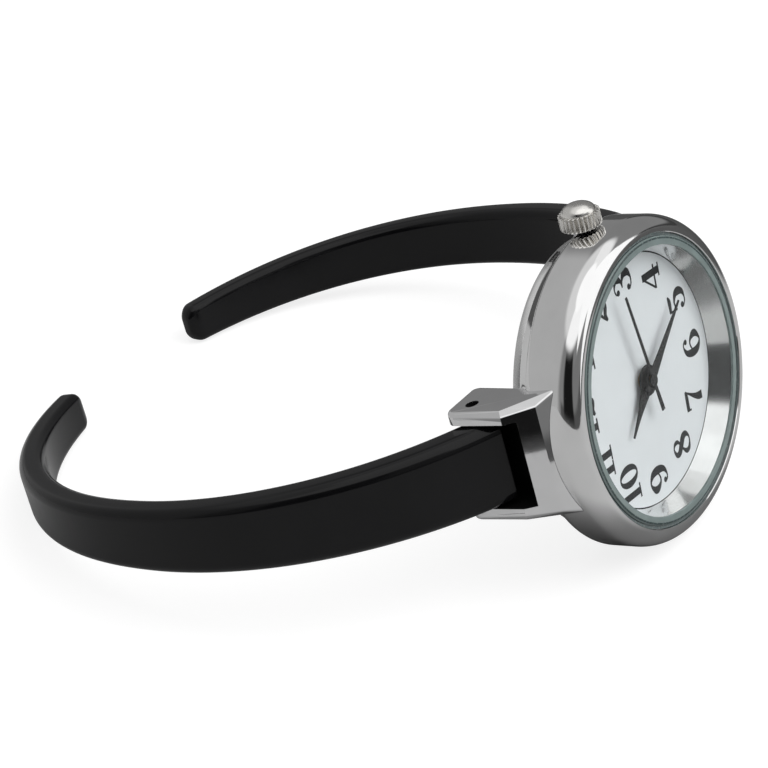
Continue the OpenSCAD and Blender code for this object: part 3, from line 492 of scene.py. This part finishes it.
def build_back():
    """A rounded lid with a plug, and the pry notch in its rim."""
    plug_in, plug_out = PLUG_R
    plug_top = PLUG_H - BACK_FACE
    outline = rounded([(0, -BACK_BOTTOM), (BACK_R, -BACK_BOTTOM), (BACK_R - 0.1, -BACK_FACE),
                       (plug_out, -BACK_FACE), (plug_out, plug_top), (plug_in, plug_top),
                       (plug_in, -BACK_FACE), (0, -BACK_FACE)],
                      [0, 0.3, 0.06, 0.02, 0.1, 0.1, 0.05, 0])
    cover = add_piece("back_cover", *lathe(outline), "back_steel", stands_for=["case_back"],
                      angle=CASE_CRISP)
    cut_away(cover, cutter_from(*notch(), "back_steel"), CASE_CRISP)


def notch():
    """A box across the back's rim, turned to the notch's place."""
    inner, outer = BACK_R - NOTCH_DEEP, BACK_R + 1
    box = [(x, y, z) for z in (-BACK_BOTTOM + 0.3, -BACK_FACE + 0.1)
           for x, y in ((inner, -NOTCH_HALF), (outer, -NOTCH_HALF),
                        (outer, NOTCH_HALF), (inner, NOTCH_HALF))]
    cos, sin = math.cos(math.radians(NOTCH_TURN)), math.sin(math.radians(NOTCH_TURN))
    verts = [(x * cos - y * sin, x * sin + y * cos, z) for x, y, z in box]
    return verts, [[0, 3, 2, 1], [4, 5, 6, 7], [0, 1, 5, 4], [1, 2, 6, 5], [2, 3, 7, 6], [3, 0, 4, 7]]


def build_glass():
    """A clear pane and its slate rim of two bands with a dark line between.

    Real glass makes what lies under it look nearer, so the pane is drawn thin and the reflector
    reaches up to it."""
    top = BEZEL_TOP - 0.02
    pane_r = CLEAR_R - 0.02
    pane = [(0, RIM_FOOT), (pane_r, RIM_FOOT), (pane_r, top), (0, top)]
    add_piece("glass_pane", *lathe(pane, 192), "mineral_glass", stands_for=["glass"])
    rim = rounded([(CLEAR_R, RIM_FOOT), (GLASS_R, RIM_FOOT), (GLASS_R, top - 0.12),
                   (GLASS_R - 0.2, top), (CLEAR_R, top)], [0, 0, 0.04, 0.08, 0.03])
    add_piece("glass_rim", *lathe(rim), "slate_rim", slot="mineral_glass")
    line = rounded([(GLASS_R - 0.27, top - 0.06), (GLASS_R - 0.12, top - 0.1),
                    (GLASS_R - 0.1, top - 0.02), (GLASS_R - 0.25, top + 0.012)],
                   [0, 0, 0.02, 0.02])
    add_piece("glass_rim_line", *lathe(line), "rim_line", slot="mineral_glass")


def build_reflector():
    """A steep wall, polished as if it leaned out more: its two lips lead the shading."""
    lip_in, lip_up = 0.03, 0.038
    top, outer, ledge = RIM_FOOT - 0.01, BORE_R - 0.03, LEDGE_R - 0.01
    outline = [(DIAL_OPEN_R - lip_in, 0.002), (DIAL_OPEN_R, lip_up),
               (CLEAR_R - lip_in, top - lip_up), (CLEAR_R, top), (outer, top),
               (outer, GLASS_BOTTOM), (ledge, GLASS_BOTTOM), (ledge, LEDGE_Z - 0.03),
               (outer, LEDGE_Z - 0.04), (outer, 0.002)]
    add_piece("reflector_wall", *lathe(outline), "reflector", slot="polished_steel",
              stands_for=["reflector_ring"], angle=25)
    # Painted shadow: a thin near-black ring on the dial round the reflector's foot
    shadow_in, shadow_out = DIAL_OPEN_R - 0.1, DIAL_OPEN_R - 0.01
    shadow_ring = [(shadow_in, 0.001), (shadow_out, 0.001), (shadow_out, 0.018), (shadow_in, 0.018)]
    add_piece("reflector_foot_shadow", *lathe(shadow_ring), "channel_black", slot="hand_black")


# Numerals, drawn in a box 1 high and GLYPH_W wide
GLYPH_W, PAIR_WIDE, PAIR_STEP, ELEVEN_STEP = 0.72, 0.86, 0.31, 0.24
INK_T, INK_STEP, INK_LEVELS = 0.012, 0.0002, 40


def spline(points, per=8):
    """A smooth line through (x, y, width) points."""
    out, n = [], len(points)
    for i in range(n - 1):
        p0, p1, p2, p3 = (points[max(i - 1, 0)], points[i], points[i + 1], points[min(i + 2, n - 1)])
        for k in range(per):
            t = k / per
            out.append(tuple(0.5 * (2 * b + (c - a) * t + (2 * a - 5 * b + 4 * c - d) * t * t
                                    + (3 * b - a - 3 * c + d) * t ** 3)
                             for a, b, c, d in zip(p0, p1, p2, p3)))
    return out + [tuple(points[-1])]


def ribbon(points, closed=False):
    """The outline of a pen stroke that swells and thins, drawn bold: a list of quads."""
    quads, edge, n = [], [], len(points)
    for i, (x, y, w) in enumerate(points):
        a = points[(i - 1) % n] if closed else points[max(i - 1, 0)]
        b = points[(i + 1) % n] if closed else points[min(i + 1, n - 1)]
        d = Vector((b[0] - a[0], b[1] - a[1])).normalized()
        w *= BOLD / 2
        edge.append(((x - d.y * w, y + d.x * w), (x + d.y * w, y - d.x * w)))
    for i in range(n if closed else n - 1):
        (a, b), (c, d) = edge[i], edge[(i + 1) % n]
        quads.append([a, b, d, c])
    return quads


def curve(*points):
    """A pen stroke along a smooth line."""
    return ribbon(spline(points))


def ball(x, y, radius):
    return [circle(radius, 20, x, y)]


def bar(x0, x1, y, w):
    w *= BOLD / 2
    return [[(x0, y - w), (x1, y - w), (x1, y + w), (x0, y + w)]]


def stem(x, y0, y1, w=THICK):
    w *= BOLD / 2
    return [[(x - w, y0), (x + w, y0), (x + w, y1), (x - w, y1)]]


def oval(cx, cy, rx, ry):
    """A closed stroke, thick at its sides and thin above and below."""
    points = []
    for i in range(48):
        a = 2 * math.pi * i / 48
        width = THIN + (THICK - THIN) * abs(math.cos(a)) ** 1.4
        points.append((cx + rx * math.cos(a), cy + ry * math.sin(a), width))
    return ribbon(points, True)


def turned(shapes):
    return [[(GLYPH_W - x, 1 - y) for x, y in shape] for shape in shapes]


GLYPHS = {
    "0": oval(0.36, 0.5, 0.255, 0.465),
    "1": (stem(0.36, 0.03, 0.97) + bar(0.12, 0.6, 0.025, 0.05)
          + curve((0.32, 0.955, 0.05), (0.24, 0.85, 0.05), (0.1, 0.8, 0.045))),
    "2": (ball(0.17, 0.76, 0.085)
          + curve((0.1, 0.78, 0.03), (0.18, 0.92, 0.045), (0.34, 0.97, 0.055), (0.52, 0.88, 0.14),
                  (0.55, 0.7, 0.17), (0.42, 0.46, 0.11), (0.22, 0.25, 0.06), (0.1, 0.09, 0.05))
          + curve((0.07, 0.04, 0.07), (0.24, 0.12, 0.12), (0.42, 0.065, 0.13), (0.56, 0.06, 0.1),
                  (0.64, 0.17, 0.04), (0.66, 0.27, 0.03))),
    "3": (ball(0.18, 0.79, 0.08)
          + curve((0.11, 0.8, 0.03), (0.19, 0.93, 0.045), (0.34, 0.97, 0.05), (0.51, 0.87, 0.13),
                  (0.515, 0.71, 0.15), (0.41, 0.57, 0.07), (0.25, 0.535, 0.04))
          + curve((0.25, 0.535, 0.04), (0.42, 0.51, 0.06), (0.585, 0.38, 0.16), (0.585, 0.17, 0.17),
                  (0.42, 0.035, 0.06), (0.24, 0.03, 0.045), (0.1, 0.14, 0.03))
          + ball(0.17, 0.19, 0.085)),
    "4": (stem(0.49, 0.03, 0.98, 0.16) + bar(0.3, 0.68, 0.025, 0.05) + bar(0.02, 0.7, 0.29, 0.06)
          + ribbon([(0.46, 0.95, 0.05), (0.05, 0.31, 0.05)])),
    "5": (curve((0.14, 0.9, 0.1), (0.3, 0.89, 0.12), (0.46, 0.9, 0.13), (0.6, 0.96, 0.05))
          + ribbon([(0.145, 0.95, 0.05), (0.125, 0.5, 0.04)])
          + curve((0.12, 0.5, 0.04), (0.22, 0.585, 0.05), (0.38, 0.61, 0.07), (0.56, 0.5, 0.15),
                  (0.6, 0.32, 0.18), (0.53, 0.12, 0.13), (0.38, 0.03, 0.06), (0.22, 0.03, 0.045),
                  (0.09, 0.14, 0.03))
          + ball(0.16, 0.19, 0.085)),
    "6": (curve((0.58, 0.83, 0.04), (0.5, 0.945, 0.045), (0.38, 0.965, 0.055), (0.19, 0.82, 0.13),
                (0.12, 0.5, 0.18), (0.16, 0.2, 0.15), (0.32, 0.035, 0.06), (0.46, 0.06, 0.08),
                (0.6, 0.22, 0.16), (0.605, 0.38, 0.15), (0.5, 0.55, 0.07), (0.37, 0.585, 0.05),
                (0.22, 0.5, 0.045), (0.15, 0.38, 0.04))
          + ball(0.52, 0.83, 0.08)),
    "7": (curve((0.09, 0.9, 0.13), (0.3, 0.9, 0.13), (0.5, 0.9, 0.12), (0.63, 0.93, 0.07))
          + ribbon([(0.085, 0.98, 0.04), (0.07, 0.74, 0.04)])
          + curve((0.63, 0.95, 0.04), (0.5, 0.7, 0.06), (0.36, 0.42, 0.12), (0.29, 0.2, 0.17),
                  (0.28, 0.02, 0.18))),
    "8": curve((0.36, 0.965, 0.05), (0.2, 0.86, 0.11), (0.2, 0.69, 0.15), (0.37, 0.53, 0.17),
               (0.56, 0.37, 0.17), (0.6, 0.2, 0.13), (0.5, 0.06, 0.06), (0.36, 0.03, 0.05),
               (0.17, 0.11, 0.1), (0.13, 0.28, 0.11), (0.25, 0.45, 0.06), (0.42, 0.58, 0.05),
               (0.525, 0.71, 0.09), (0.52, 0.86, 0.09), (0.44, 0.945, 0.05), (0.36, 0.965, 0.05)),
}
GLYPHS["9"] = turned(GLYPHS["6"])


def on_dial(u, v, hour, shift, wide):
    """Where a point of a glyph's box lies on the dial, upright at its hour."""
    a = math.radians(hour * 30)
    right = ((u - GLYPH_W / 2) * wide + shift) * NUMERAL_H
    up = (v - 0.5) * NUMERAL_H
    x, y = -NUMERAL_R * math.cos(a) - up, NUMERAL_R * math.sin(a) + right
    cos, sin = math.cos(math.radians(NUMERAL_TURN)), math.sin(math.radians(NUMERAL_TURN))
    return x * cos + y * sin + NUMERAL_SHIFT[0], y * cos - x * sin + NUMERAL_SHIFT[1]


def slab(outline, rise):
    """A printed shape from the dial up to its rise, open below."""
    n = len(outline)
    verts = [(x, y, z) for z in (0.0, rise) for x, y in outline]
    walls = [[i, (i + 1) % n, n + (i + 1) % n, n + i] for i in range(n)]
    return verts, [[n + i for i in range(n)]] + walls


def build_numerals():
    """Plain hour numerals, each stroke a hair higher than the last so that none coincide."""
    parts = []
    for hour in range(1, 13):
        text = str(hour)
        step = ELEVEN_STEP if text == "11" else PAIR_STEP
        shifts = [-step, step] if len(text) == 2 else [0.0]
        wide = NUMERAL_WIDE * (PAIR_WIDE if len(text) == 2 else 1)
        for ch, shift in zip(text, shifts):
            for shape in GLYPHS[ch]:
                rise = INK_T + INK_STEP * ((len(parts) + 1) % INK_LEVELS)
                parts.append(slab([on_dial(u, v, hour, shift, wide) for u, v in shape], rise))
    add_piece("hour_numerals", *joined(parts), "numeral_ink", slot="hand_black", angle=20)


# Hands
def blade(*stations):
    """A hand's outline from (distance from the axis, half width) pairs, both sides."""
    side = [(d, w) for d, w, _ in spline([(d, w, 0) for d, w in stations], 6)]
    return side + [(d, -w) for d, w in reversed(side)]


def shrink(outline, by):
    """The outline drawn in along its own normals."""
    n, out = len(outline), []
    area = sum(a[0] * b[1] - b[0] * a[1] for a, b in zip(outline, outline[1:] + outline[:1]))
    sign = 1 if area > 0 else -1
    for i in range(n):
        d = Vector(outline[(i + 1) % n]) - Vector(outline[i - 1])
        d = d.normalized() if d.length > 1e-9 else Vector((1, 0))
        out.append((outline[i][0] - sign * d.y * by, outline[i][1] + sign * d.x * by))
    return out


def bevelled(outline, z0, z1, edge):
    """A flat shape from z0 to z1 whose upper edge is bevelled."""
    n = len(outline)
    rings = [(outline, z0), (outline, z1 - edge * 0.6), (shrink(outline, edge), z1)]
    verts = [(d, w, z) for points, z in rings for d, w in points]
    faces = [[r + i, r + (i + 1) % n, r + n + (i + 1) % n, r + n + i]
             for r in (0, n) for i in range(n)]
    return verts, faces + [list(range(n)), list(range(2 * n, 3 * n))]


def hand_piece(which, shapes, body, node):
    """A hand of bevelled shapes, drawn along its own length and turned to its place."""
    a = math.radians(HANDS[which])
    along, across = (-math.cos(a), math.sin(a)), (math.sin(a), math.cos(a))
    verts, faces = joined(bevelled(*shape) for shape in shapes)
    verts = [(d * along[0] + w * across[0], d * along[1] + w * across[1], z) for d, w, z in verts]
    add_piece(which + "_hand_blade", verts, faces, "hand_black", body=body, stands_for=[node],
              angle=30)


def build_hands():
    """Each hand is a blade with a round boss; hours and seconds have a smaller disc on it."""
    z = HAND_Z["hour"]
    hour = blade((0.3, 0.66), (1.2, 0.66), (1.9, 0.52), (3.2, 0.27), (4.4, 0.14), (5.3, 0.07))
    hand_piece("hour", [(hour, z, z + HAND_T, 0.03), (circle(1.35), z, z + HAND_T - 0.002, 0.04),
                        (circle(0.9), z + 0.1, z + 0.26, 0.04)], "hours", "hour_hand")
    z = HAND_Z["minute"]
    minute = blade((-1.3, 0.26), (-0.6, 0.36), (0.6, 0.5), (1.7, 0.44), (3.2, 0.33), (5.5, 0.2),
                   (8.0, 0.07))
    hand_piece("minute", [(minute, z, z + HAND_T, 0.03),
                          (circle(0.85), z, z + HAND_T - 0.002, 0.04)], "minutes", "minute_hand")
    z = HAND_Z["second"]
    second = blade((-3.0, 0.21), (-2.0, 0.2), (-0.8, 0.17), (0, 0.16), (4, 0.145), (8.3, 0.12))
    hand_piece("second", [(second, z, z + 0.11, 0.02), (circle(0.55), z, z + 0.13, 0.04),
                          (circle(0.24), z + 0.1, z + 0.16, 0.04)], "seconds", "second_hand")


# Crown
def flute_radius(a, depth):
    """Radius at angle a of the fluted band: round ridges with narrow grooves."""
    wave = (0.5 + 0.5 * math.cos(FLUTES * a)) ** 0.7
    return CROWN_R - depth * (1 - wave)


def crown_rings(steps):
    """Rings of (radius, height): the hollow underneath, the fluted band, a groove and the dome."""
    under = [(0.0, CROWN_H * 0.75), (0.4, CROWN_H * 0.75), (0.4, 0.65), (1.15, 0.65), (1.15, 0.0)]
    band = [(0.0, -0.1, 0.5), (0.08, -0.01, 1.0), (0.16, 0, 1.0), (CROWN_H - 0.1, 0, 1.0),
            (CROWN_H - 0.03, -0.01, 1.0), (CROWN_H, -0.05, 1.0)]
    dome_r = CROWN_R - 0.31
    top = [(CROWN_R - 0.3, CROWN_H + 0.01), (dome_r, CROWN_H + 0.01)]
    top += [(r, CROWN_H + z) for r, z in arc(0, 0.0, dome_r, CROWN_DOME, 2, 90, 18)]
    fluted = [[(flute_radius(2 * math.pi * i / steps, FLUTE * cut) + inset, y)
               for i in range(steps)] for y, inset, cut in band]
    return [[point] * steps for point in under] + fluted + [[point] * steps for point in top]


def build_crown():
    steps = FLUTES * 12
    rings = crown_rings(steps)
    verts, faces = [], []
    for ring in rings:
        for i, (r, y) in enumerate(ring):
            a = 2 * math.pi * i / steps
            verts.append((r * math.cos(a), CROWN_SEAT + y, -STEM_DEPTH + r * math.sin(a)))
    for k in range(len(rings) - 1):
        for i in range(steps):
            j = (i + 1) % steps
            faces.append([k * steps + i, k * steps + j, (k + 1) * steps + j, (k + 1) * steps + i])
    add_piece("crown_cap", verts, faces, "crown_nickel", body="crown_group",
              stands_for=["crown"], angle=42)


# Arms
def arm_line(upper=48, lower=72):
    """Middle line of an arm, in x and z, from the root to the tip."""
    root_angle = math.acos(ROOT[0] / CUFF_HALF_W)
    mid = ROOT[1] - CUFF_RISE * math.sin(root_angle)
    tip_angle = math.acos((TIP_REACH / CUFF_HALF_W) ** (FULLNESS / 2))
    pts = []
    for i in range(upper):
        a = root_angle * (1 - i / upper)
        pts.append(Vector((CUFF_HALF_W * math.cos(a), mid + CUFF_RISE * math.sin(a))))
    for i in range(lower + 1):
        a = tip_angle * (i / lower) ** 1.15
        c, s = max(math.cos(a), 0), max(math.sin(a), 0)
        pts.append(Vector((CUFF_HALF_W * c ** (2 / FULLNESS), mid - CUFF_DROP * s ** (2 / FULLNESS))))
    return pts


def section(w, t, edge, steps=8):
    """Rounded rectangle: (outwards, across) points."""
    out = []
    for q, (sx, sy) in enumerate(((1, 1), (-1, 1), (-1, -1), (1, -1))):
        for k in range(steps + 1):
            a = math.radians(90 * q + 90 * k / steps)
            out.append((sx * (t / 2 - edge) + edge * math.cos(a),
                        sy * (w / 2 - edge) + edge * math.sin(a)))
    return out


def between(pair, share):
    """The value at a share of the way from the pair's first to its second."""
    return pair[0] + (pair[1] - pair[0]) * share


def arm_rings():
    """An arm's sections with their places and directions, from the root to the rounded tip."""
    line = arm_line()
    length = sum((b - a).length for a, b in zip(line, line[1:]))
    last = len(line) - 1
    rings, run = [], 0.0
    for i, p in enumerate(line):
        run += (p - line[i - 1]).length if i else 0
        d = (line[min(i + 1, last)] - line[max(i - 1, 0)]).normalized()
        s = run / length
        w, t, edge = between(ARM_W, s ** 1.12), between(ARM_T, s), between(ARM_EDGE, s)
        rings.append((p, d, section(w, t, edge)))
    end, d, _ = rings[-1]
    for a in range(6, 88, 6):
        on = TIP_ROUND * math.sin(math.radians(a))
        drawn = 1 - math.cos(math.radians(a))
        w, t = ARM_W[1] - 2 * TIP_ROUND * drawn, ARM_T[1] * (1 - 0.76 * drawn)
        rings.append((end + d * on, d, section(w, t, min(ARM_EDGE[1], 0.4 * w, 0.4 * t))))
    return rings


def build_arm(name, side, body, node):
    """side is 1 for the arm at 6 o'clock and -1 for the one at 12."""
    rings = arm_rings()
    verts, faces = [], []
    for p, d, points in rings:
        verts += [(side * (p.x - d.y * u), v, p.y + d.x * u) for u, v in points]
    n, m = len(rings[0][2]), len(rings)
    for i in range(m - 1):
        faces += [[i * n + j, i * n + (j + 1) % n, (i + 1) * n + (j + 1) % n, (i + 1) * n + j]
                  for j in range(n)]
    faces += [list(range(n)), [(m - 1) * n + j for j in range(n)]]
    arm = add_piece(name, verts, faces, "black_gloss", body=body, stands_for=[node],
                    angle=ARM_CRISP)
    cut_away(arm, cutter_from(*root_box(side), "black_gloss"), ARM_CRISP)
    cut_away(arm, cutter_from(*tongue_box(side), "black_gloss"), ARM_CRISP)
    even_shade(arm)


def root_frame():
    """Origin, direction along the arm and direction outwards at an arm's root, in x and z."""
    root_angle = math.acos(ROOT[0] / CUFF_HALF_W)
    d = Vector((CUFF_HALF_W * math.sin(root_angle), -CUFF_RISE * math.cos(root_angle))).normalized()
    return Vector(ROOT), d, Vector((-d.y, d.x))


def box_at_root(side, s0, s1, t0, t1, half):
    """A box from s0 to s1 along the arm and t0 to t1 outwards, half to each side."""
    at, d, out = root_frame()
    quad = [at + d * s + out * t for s, t in ((s0, t0), (s1, t0), (s1, t1), (s0, t1))]
    return prism([(side * q.x, q.y) for q in quad], half)


def root_box(side):
    """The part of the root's inner side that makes room for the knuckle."""
    inner = -ARM_T[0] / 2
    return box_at_root(side, -0.5, PIN_SETBACK + 1.1, inner - 0.5, inner + 2 * PIN_INSET + 0.1, 6)


def tongue_box(side):
    """The slot in the arm that the knuckle's tongue is moulded into."""
    mid, tongue_t = -ARM_T[0] / 2 + PIN_INSET, 0.96
    return box_at_root(side, 0.5, 5.53, mid - tongue_t / 2, mid + tongue_t / 2, 2.03)


# End pieces
def pin_place():
    at, d, out = root_frame()
    return at + d * PIN_SETBACK + out * (PIN_INSET - ARM_T[0] / 2)


def hood_corners():
    """Side view of the end piece: x, z, half width and edge radius of each corner."""
    pin = pin_place()
    bottom, front = pin.y - 1.95, pin.x + 1.6
    back = math.sqrt((BACK_R + HEAD_GAP) ** 2 - EAR_HALF ** 2) - 0.15
    low_x, low_z, shelf = pin.x + 1.2, -3.3, -3.6
    ridge_x, ridge_z = CASE_R + 0.4, low_z + 2.45
    flare_x = math.sqrt(CASE_R ** 2 - FLARE_HALF ** 2)
    return [(back + 0.8, bottom + 0.8, EAR_HALF, 0.8), (front - 0.9, bottom + 0.9, EAR_HALF, 0.9),
            (low_x - 0.4, shelf, EAR_HALF, 0.2), (back + 0.4, shelf, EAR_HALF, 0.2),
            (low_x - 0.15, low_z - 0.15, EAR_HALF - 0.4, 0.15),
            (ridge_x - 0.15, ridge_z - 0.15, EAR_HALF - 0.1, 0.15),
            (flare_x - 0.1, ridge_z + 0.95, FLARE_HALF, 0.15)]


def rounded_corner(x, z, half, radius):
    """Points on a corner's cylinder, whose ends are rounded off towards the ears' faces."""
    points = []
    for a in range(0, 91, 15):
        c, s = math.cos(math.radians(a)), math.sin(math.radians(a))
        least = max(radius - EAR_ROUND, 0.03)
        r, w = least + (radius - least) * c, half - EAR_ROUND * (1 - s)
        points += [(u, k * w, v) for u, v in circle(r, 30, x, z) for k in (-1, 1)]
    return points


def hull_piece(name, points, material, body, slot, stands_for):
    """The convex hull of the points, with its flat faces joined."""
    obj = add_piece(name, points, [], material, body=body, slot=slot, stands_for=stands_for)
    bm = bmesh.new()
    bm.from_mesh(obj.data)
    found = bmesh.ops.convex_hull(bm, input=bm.verts)
    inside = [v for v in found["geom_interior"] if v.is_valid]
    bmesh.ops.delete(bm, geom=inside, context="VERTS")
    bmesh.ops.dissolve_limit(bm, angle_limit=math.radians(2), verts=bm.verts, edges=bm.edges)
    bmesh.ops.recalc_face_normals(bm, faces=bm.faces)
    bm.to_mesh(obj.data)
    bm.free()
    return obj


def head_body():
    """The solid of the head that an end piece is fitted round."""
    band_in, rear = CASE_R - SHOULDER_IN, BACK_R + HEAD_GAP
    outline = [(0, 4), (0, -20), (rear, -20), (rear, -SHOULDER_DEPTH - 0.15),
               (band_in - 0.12, -SHOULDER_DEPTH - 0.1)]
    outline += arc(band_in, -BAND_REAR, SHOULDER_IN + 0.02, SHOULDER_DEPTH - BAND_REAR, -90, 0, 12)
    outline += [(CASE_R + 0.02, BAND_FRONT)]
    outline += arc(CASE_R - BEZEL_W, BAND_FRONT, BEZEL_W + 0.02, BEZEL_TOP - BAND_FRONT, 0, 80, 12)
    return lathe(outline + [(CASE_R - BEZEL_W, 4)], 288)


def hinge_room(side):
    """The room inside an end piece for the arm's root, open at the front and below."""
    pin = pin_place()
    roof, open_x = -2.4, pin.x + 5
    web_x, floor_z = BACK_R + HEAD_GAP + WEB_T, pin.y - 1.35
    ledge_x, ledge_z, ledge_top = pin.x - 0.95, pin.y + 0.23, pin.y + 0.73
    outline = [(open_x, roof), (CASE_R + 0.55, roof), (CASE_R - SHOULDER_IN + 0.45, -SHOULDER_DEPTH),
               (web_x, -BACK_BOTTOM), (web_x, ledge_top), (ledge_x, ledge_top), (ledge_x, ledge_z),
               (web_x, ledge_z), (web_x, floor_z), (pin.x - 0.7, floor_z),
               (pin.x - 0.3, pin.y - 3), (open_x, pin.y - 3)]
    return prism([(side * x, z) for x, z in outline], ARM_W[0] / 2 + 0.15)


def roll_edges(obj):
    edges = obj.modifiers.new("rolled_edges", "BEVEL")
    edges.width = ROLLED_EDGE / 1000
    edges.segments = 3
    edges.material = 0
    edges.limit_method = "ANGLE"
    edges.angle_limit = math.radians(19)


def build_end_piece(name, side, node):
    points = [(side * x, y, z) for corner in hood_corners() for x, y, z in rounded_corner(*corner)]
    hood = hull_piece(name, points, "plated_cap", "head", "polished_steel", [node])
    pin = pin_place()
    pin_hole = prism(circle(PIN_R + 0.03, 40, side * pin.x, pin.y), 8)
    cut_away(hood, cutter_from(*head_body()), CAP_CRISP)
    # The faces left by the hinge room and the pin hole take painted shade
    cut_away(hood, cutter_from(*hinge_room(side), "channel_black"), CAP_CRISP)
    cut_away(hood, cutter_from(*pin_hole, "channel_black"), CAP_CRISP)
    roll_edges(hood)
    even_shade(hood)


# Stage and light
def step_to(nodes, links, value, span, low, high):
    """From low to high as value crosses the span."""
    step = map_range(nodes, links, value, span, low, high)
    step.interpolation_type = "SMOOTHSTEP"
    return step.outputs["Result"]


def blend(nodes, links, factor, a, b):
    """a where the factor is 0, and b where it is 1."""
    mix = nodes.new("ShaderNodeMix")
    for name, value in (("Factor", factor), ("A", a), ("B", b)):
        feed(links, mix.inputs[name], value)
    return mix.outputs["Result"]


def sheet_grey(nodes, links):
    """Brightness of the sheet under the watch: it ends behind it, and painted shade darkens it at the
    head's foot.
    """
    place = nodes.new("ShaderNodeTexCoord").outputs["Object"]
    split = nodes.new("ShaderNodeSeparateXYZ")
    links.new(place, split.inputs["Vector"])
    sheet = step_to(nodes, links, split.outputs["X"], SHEET_END, 1.0, BEYOND_SHEET)
    away = vector_node(nodes, links, "DISTANCE", place, HEAD_FOOT)["Value"]
    near = step_to(nodes, links, away, FOOT_SHADE, FOOT_GREY, SHEET_GREY)
    return math_node(nodes, links, "MULTIPLY", sheet, near)


def floor_material():
    """White to the camera with the shadow kept, and a grey sheet to everything else."""
    mat, nodes, links, bsdf = shader("floor_white")
    bsdf.inputs["Roughness"].default_value = 0.8
    bsdf.inputs["Specular IOR Level"].default_value = 0.1
    camera_ray = nodes.new("ShaderNodeLightPath").outputs["Is Camera Ray"]
    brightness = sheet_grey(nodes, links)
    grey = nodes.new("ShaderNodeCombineColor")
    for name in ("Red", "Green", "Blue"):
        links.new(brightness, grey.inputs[name])
    shade = nodes.new("ShaderNodeMix")
    shade.data_type = "RGBA"
    links.new(camera_ray, shade.inputs["Factor"])
    links.new(grey.outputs["Color"], shade.inputs["A"])
    shade.inputs["B"].default_value = (FLOOR_WHITE, FLOOR_WHITE, FLOOR_WHITE, 1)
    links.new(shade.outputs["Result"], bsdf.inputs["Base Color"])
    glow = nodes.new("ShaderNodeEmission")
    glow.inputs["Strength"].default_value = FLOOR_GLOW
    mix = nodes.new("ShaderNodeMixShader")
    links.new(math_node(nodes, links, "MULTIPLY", camera_ray, GLOW_SHARE), mix.inputs["Fac"])
    links.new(bsdf.outputs["BSDF"], mix.inputs[1])
    links.new(glow.outputs["Emission"], mix.inputs[2])
    links.new(mix.outputs["Shader"], nodes["Material Output"].inputs["Surface"])
    return mat


def add_floor():
    mesh = bpy.data.meshes.new("floor")
    s = FLOOR_HALF
    mesh.from_pydata([(-s, -s, 0), (s, -s, 0), (s, s, 0), (-s, s, 0)], [], [[0, 1, 2, 3]])
    floor = bpy.data.objects.new("floor", mesh)
    bpy.context.scene.collection.objects.link(floor)
    mesh.materials.append(floor_material())


def within(nodes, links, value, low, high, soft):
    """1 between low and high and 0 outside, with soft edges; no edge beyond 180 degrees."""
    edges = [step_to(nodes, links, value, (at - lean * soft / 2, at + lean * soft / 2), 0.0, 1.0)
             for at, lean in ((low, 1), (high, -1)) if abs(at) < 180]
    if not edges:
        return 1.0
    return edges[0] if len(edges) == 1 else math_node(nodes, links, "MULTIPLY", *edges)


def studio_light(nodes, links):
    """Brightness of the studio in each direction."""
    coords = nodes.new("ShaderNodeTexCoord")
    turn = nodes.new("ShaderNodeVectorRotate")
    turn.rotation_type = "Z_AXIS"
    turn.inputs["Angle"].default_value = -math.radians(STUDIO_TURN)
    links.new(coords.outputs["Generated"], turn.inputs["Vector"])
    split = nodes.new("ShaderNodeSeparateXYZ")
    links.new(turn.outputs["Vector"], split.inputs["Vector"])
    azimuth = math_node(nodes, links, "ARCTAN2", split.outputs["Y"], split.outputs["X"])
    azimuth = math_node(nodes, links, "MULTIPLY", azimuth, math.degrees(1))
    elevation = math_node(nodes, links, "ARCSINE", split.outputs["Z"])
    elevation = math_node(nodes, links, "MULTIPLY", elevation, math.degrees(1))
    light = BACK_WALL
    for _, az0, az1, el0, el1, soft, brightness in STUDIO:
        patch = math_node(nodes, links, "MULTIPLY", within(nodes, links, azimuth, az0, az1, soft),
                          within(nodes, links, elevation, el0, el1, soft))
        light = blend(nodes, links, patch, light, brightness)
    return light


def add_world():
    """White to the camera, the studio to everything else; mirrors see its lamps a little dimmed."""
    world = bpy.data.worlds.new("studio")
    bpy.context.scene.world = world
    world.use_nodes = True
    nodes, links = world.node_tree.nodes, world.node_tree.links
    path = nodes.new("ShaderNodeLightPath")
    light = studio_light(nodes, links)
    dimmed = math_node(nodes, links, "MINIMUM", light, MIRRORED_MOST)
    light = blend(nodes, links, path.outputs["Is Glossy Ray"], light, dimmed)
    strength = blend(nodes, links, path.outputs["Is Camera Ray"], light, 1.0)
    links.new(strength, nodes["Background"].inputs["Strength"])
    nodes["Background"].inputs["Color"].default_value = (1, 1, 1, 1)


def build():
    dress_cad()
    build_case()
    build_back()
    build_glass()
    build_reflector()
    build_numerals()
    build_hands()
    build_crown()
    build_arm("arm_sweep_6", 1, "arm_6", "arm_6")
    build_arm("arm_sweep_12", -1, "arm_12", "arm_12")
    build_end_piece("cap_6", 1, "end_piece_6")
    build_end_piece("cap_12", -1, "end_piece_12")
    add_floor()
    add_world()
    add_camera()


build()
bpy.context.scene.view_settings.view_transform = "Standard"
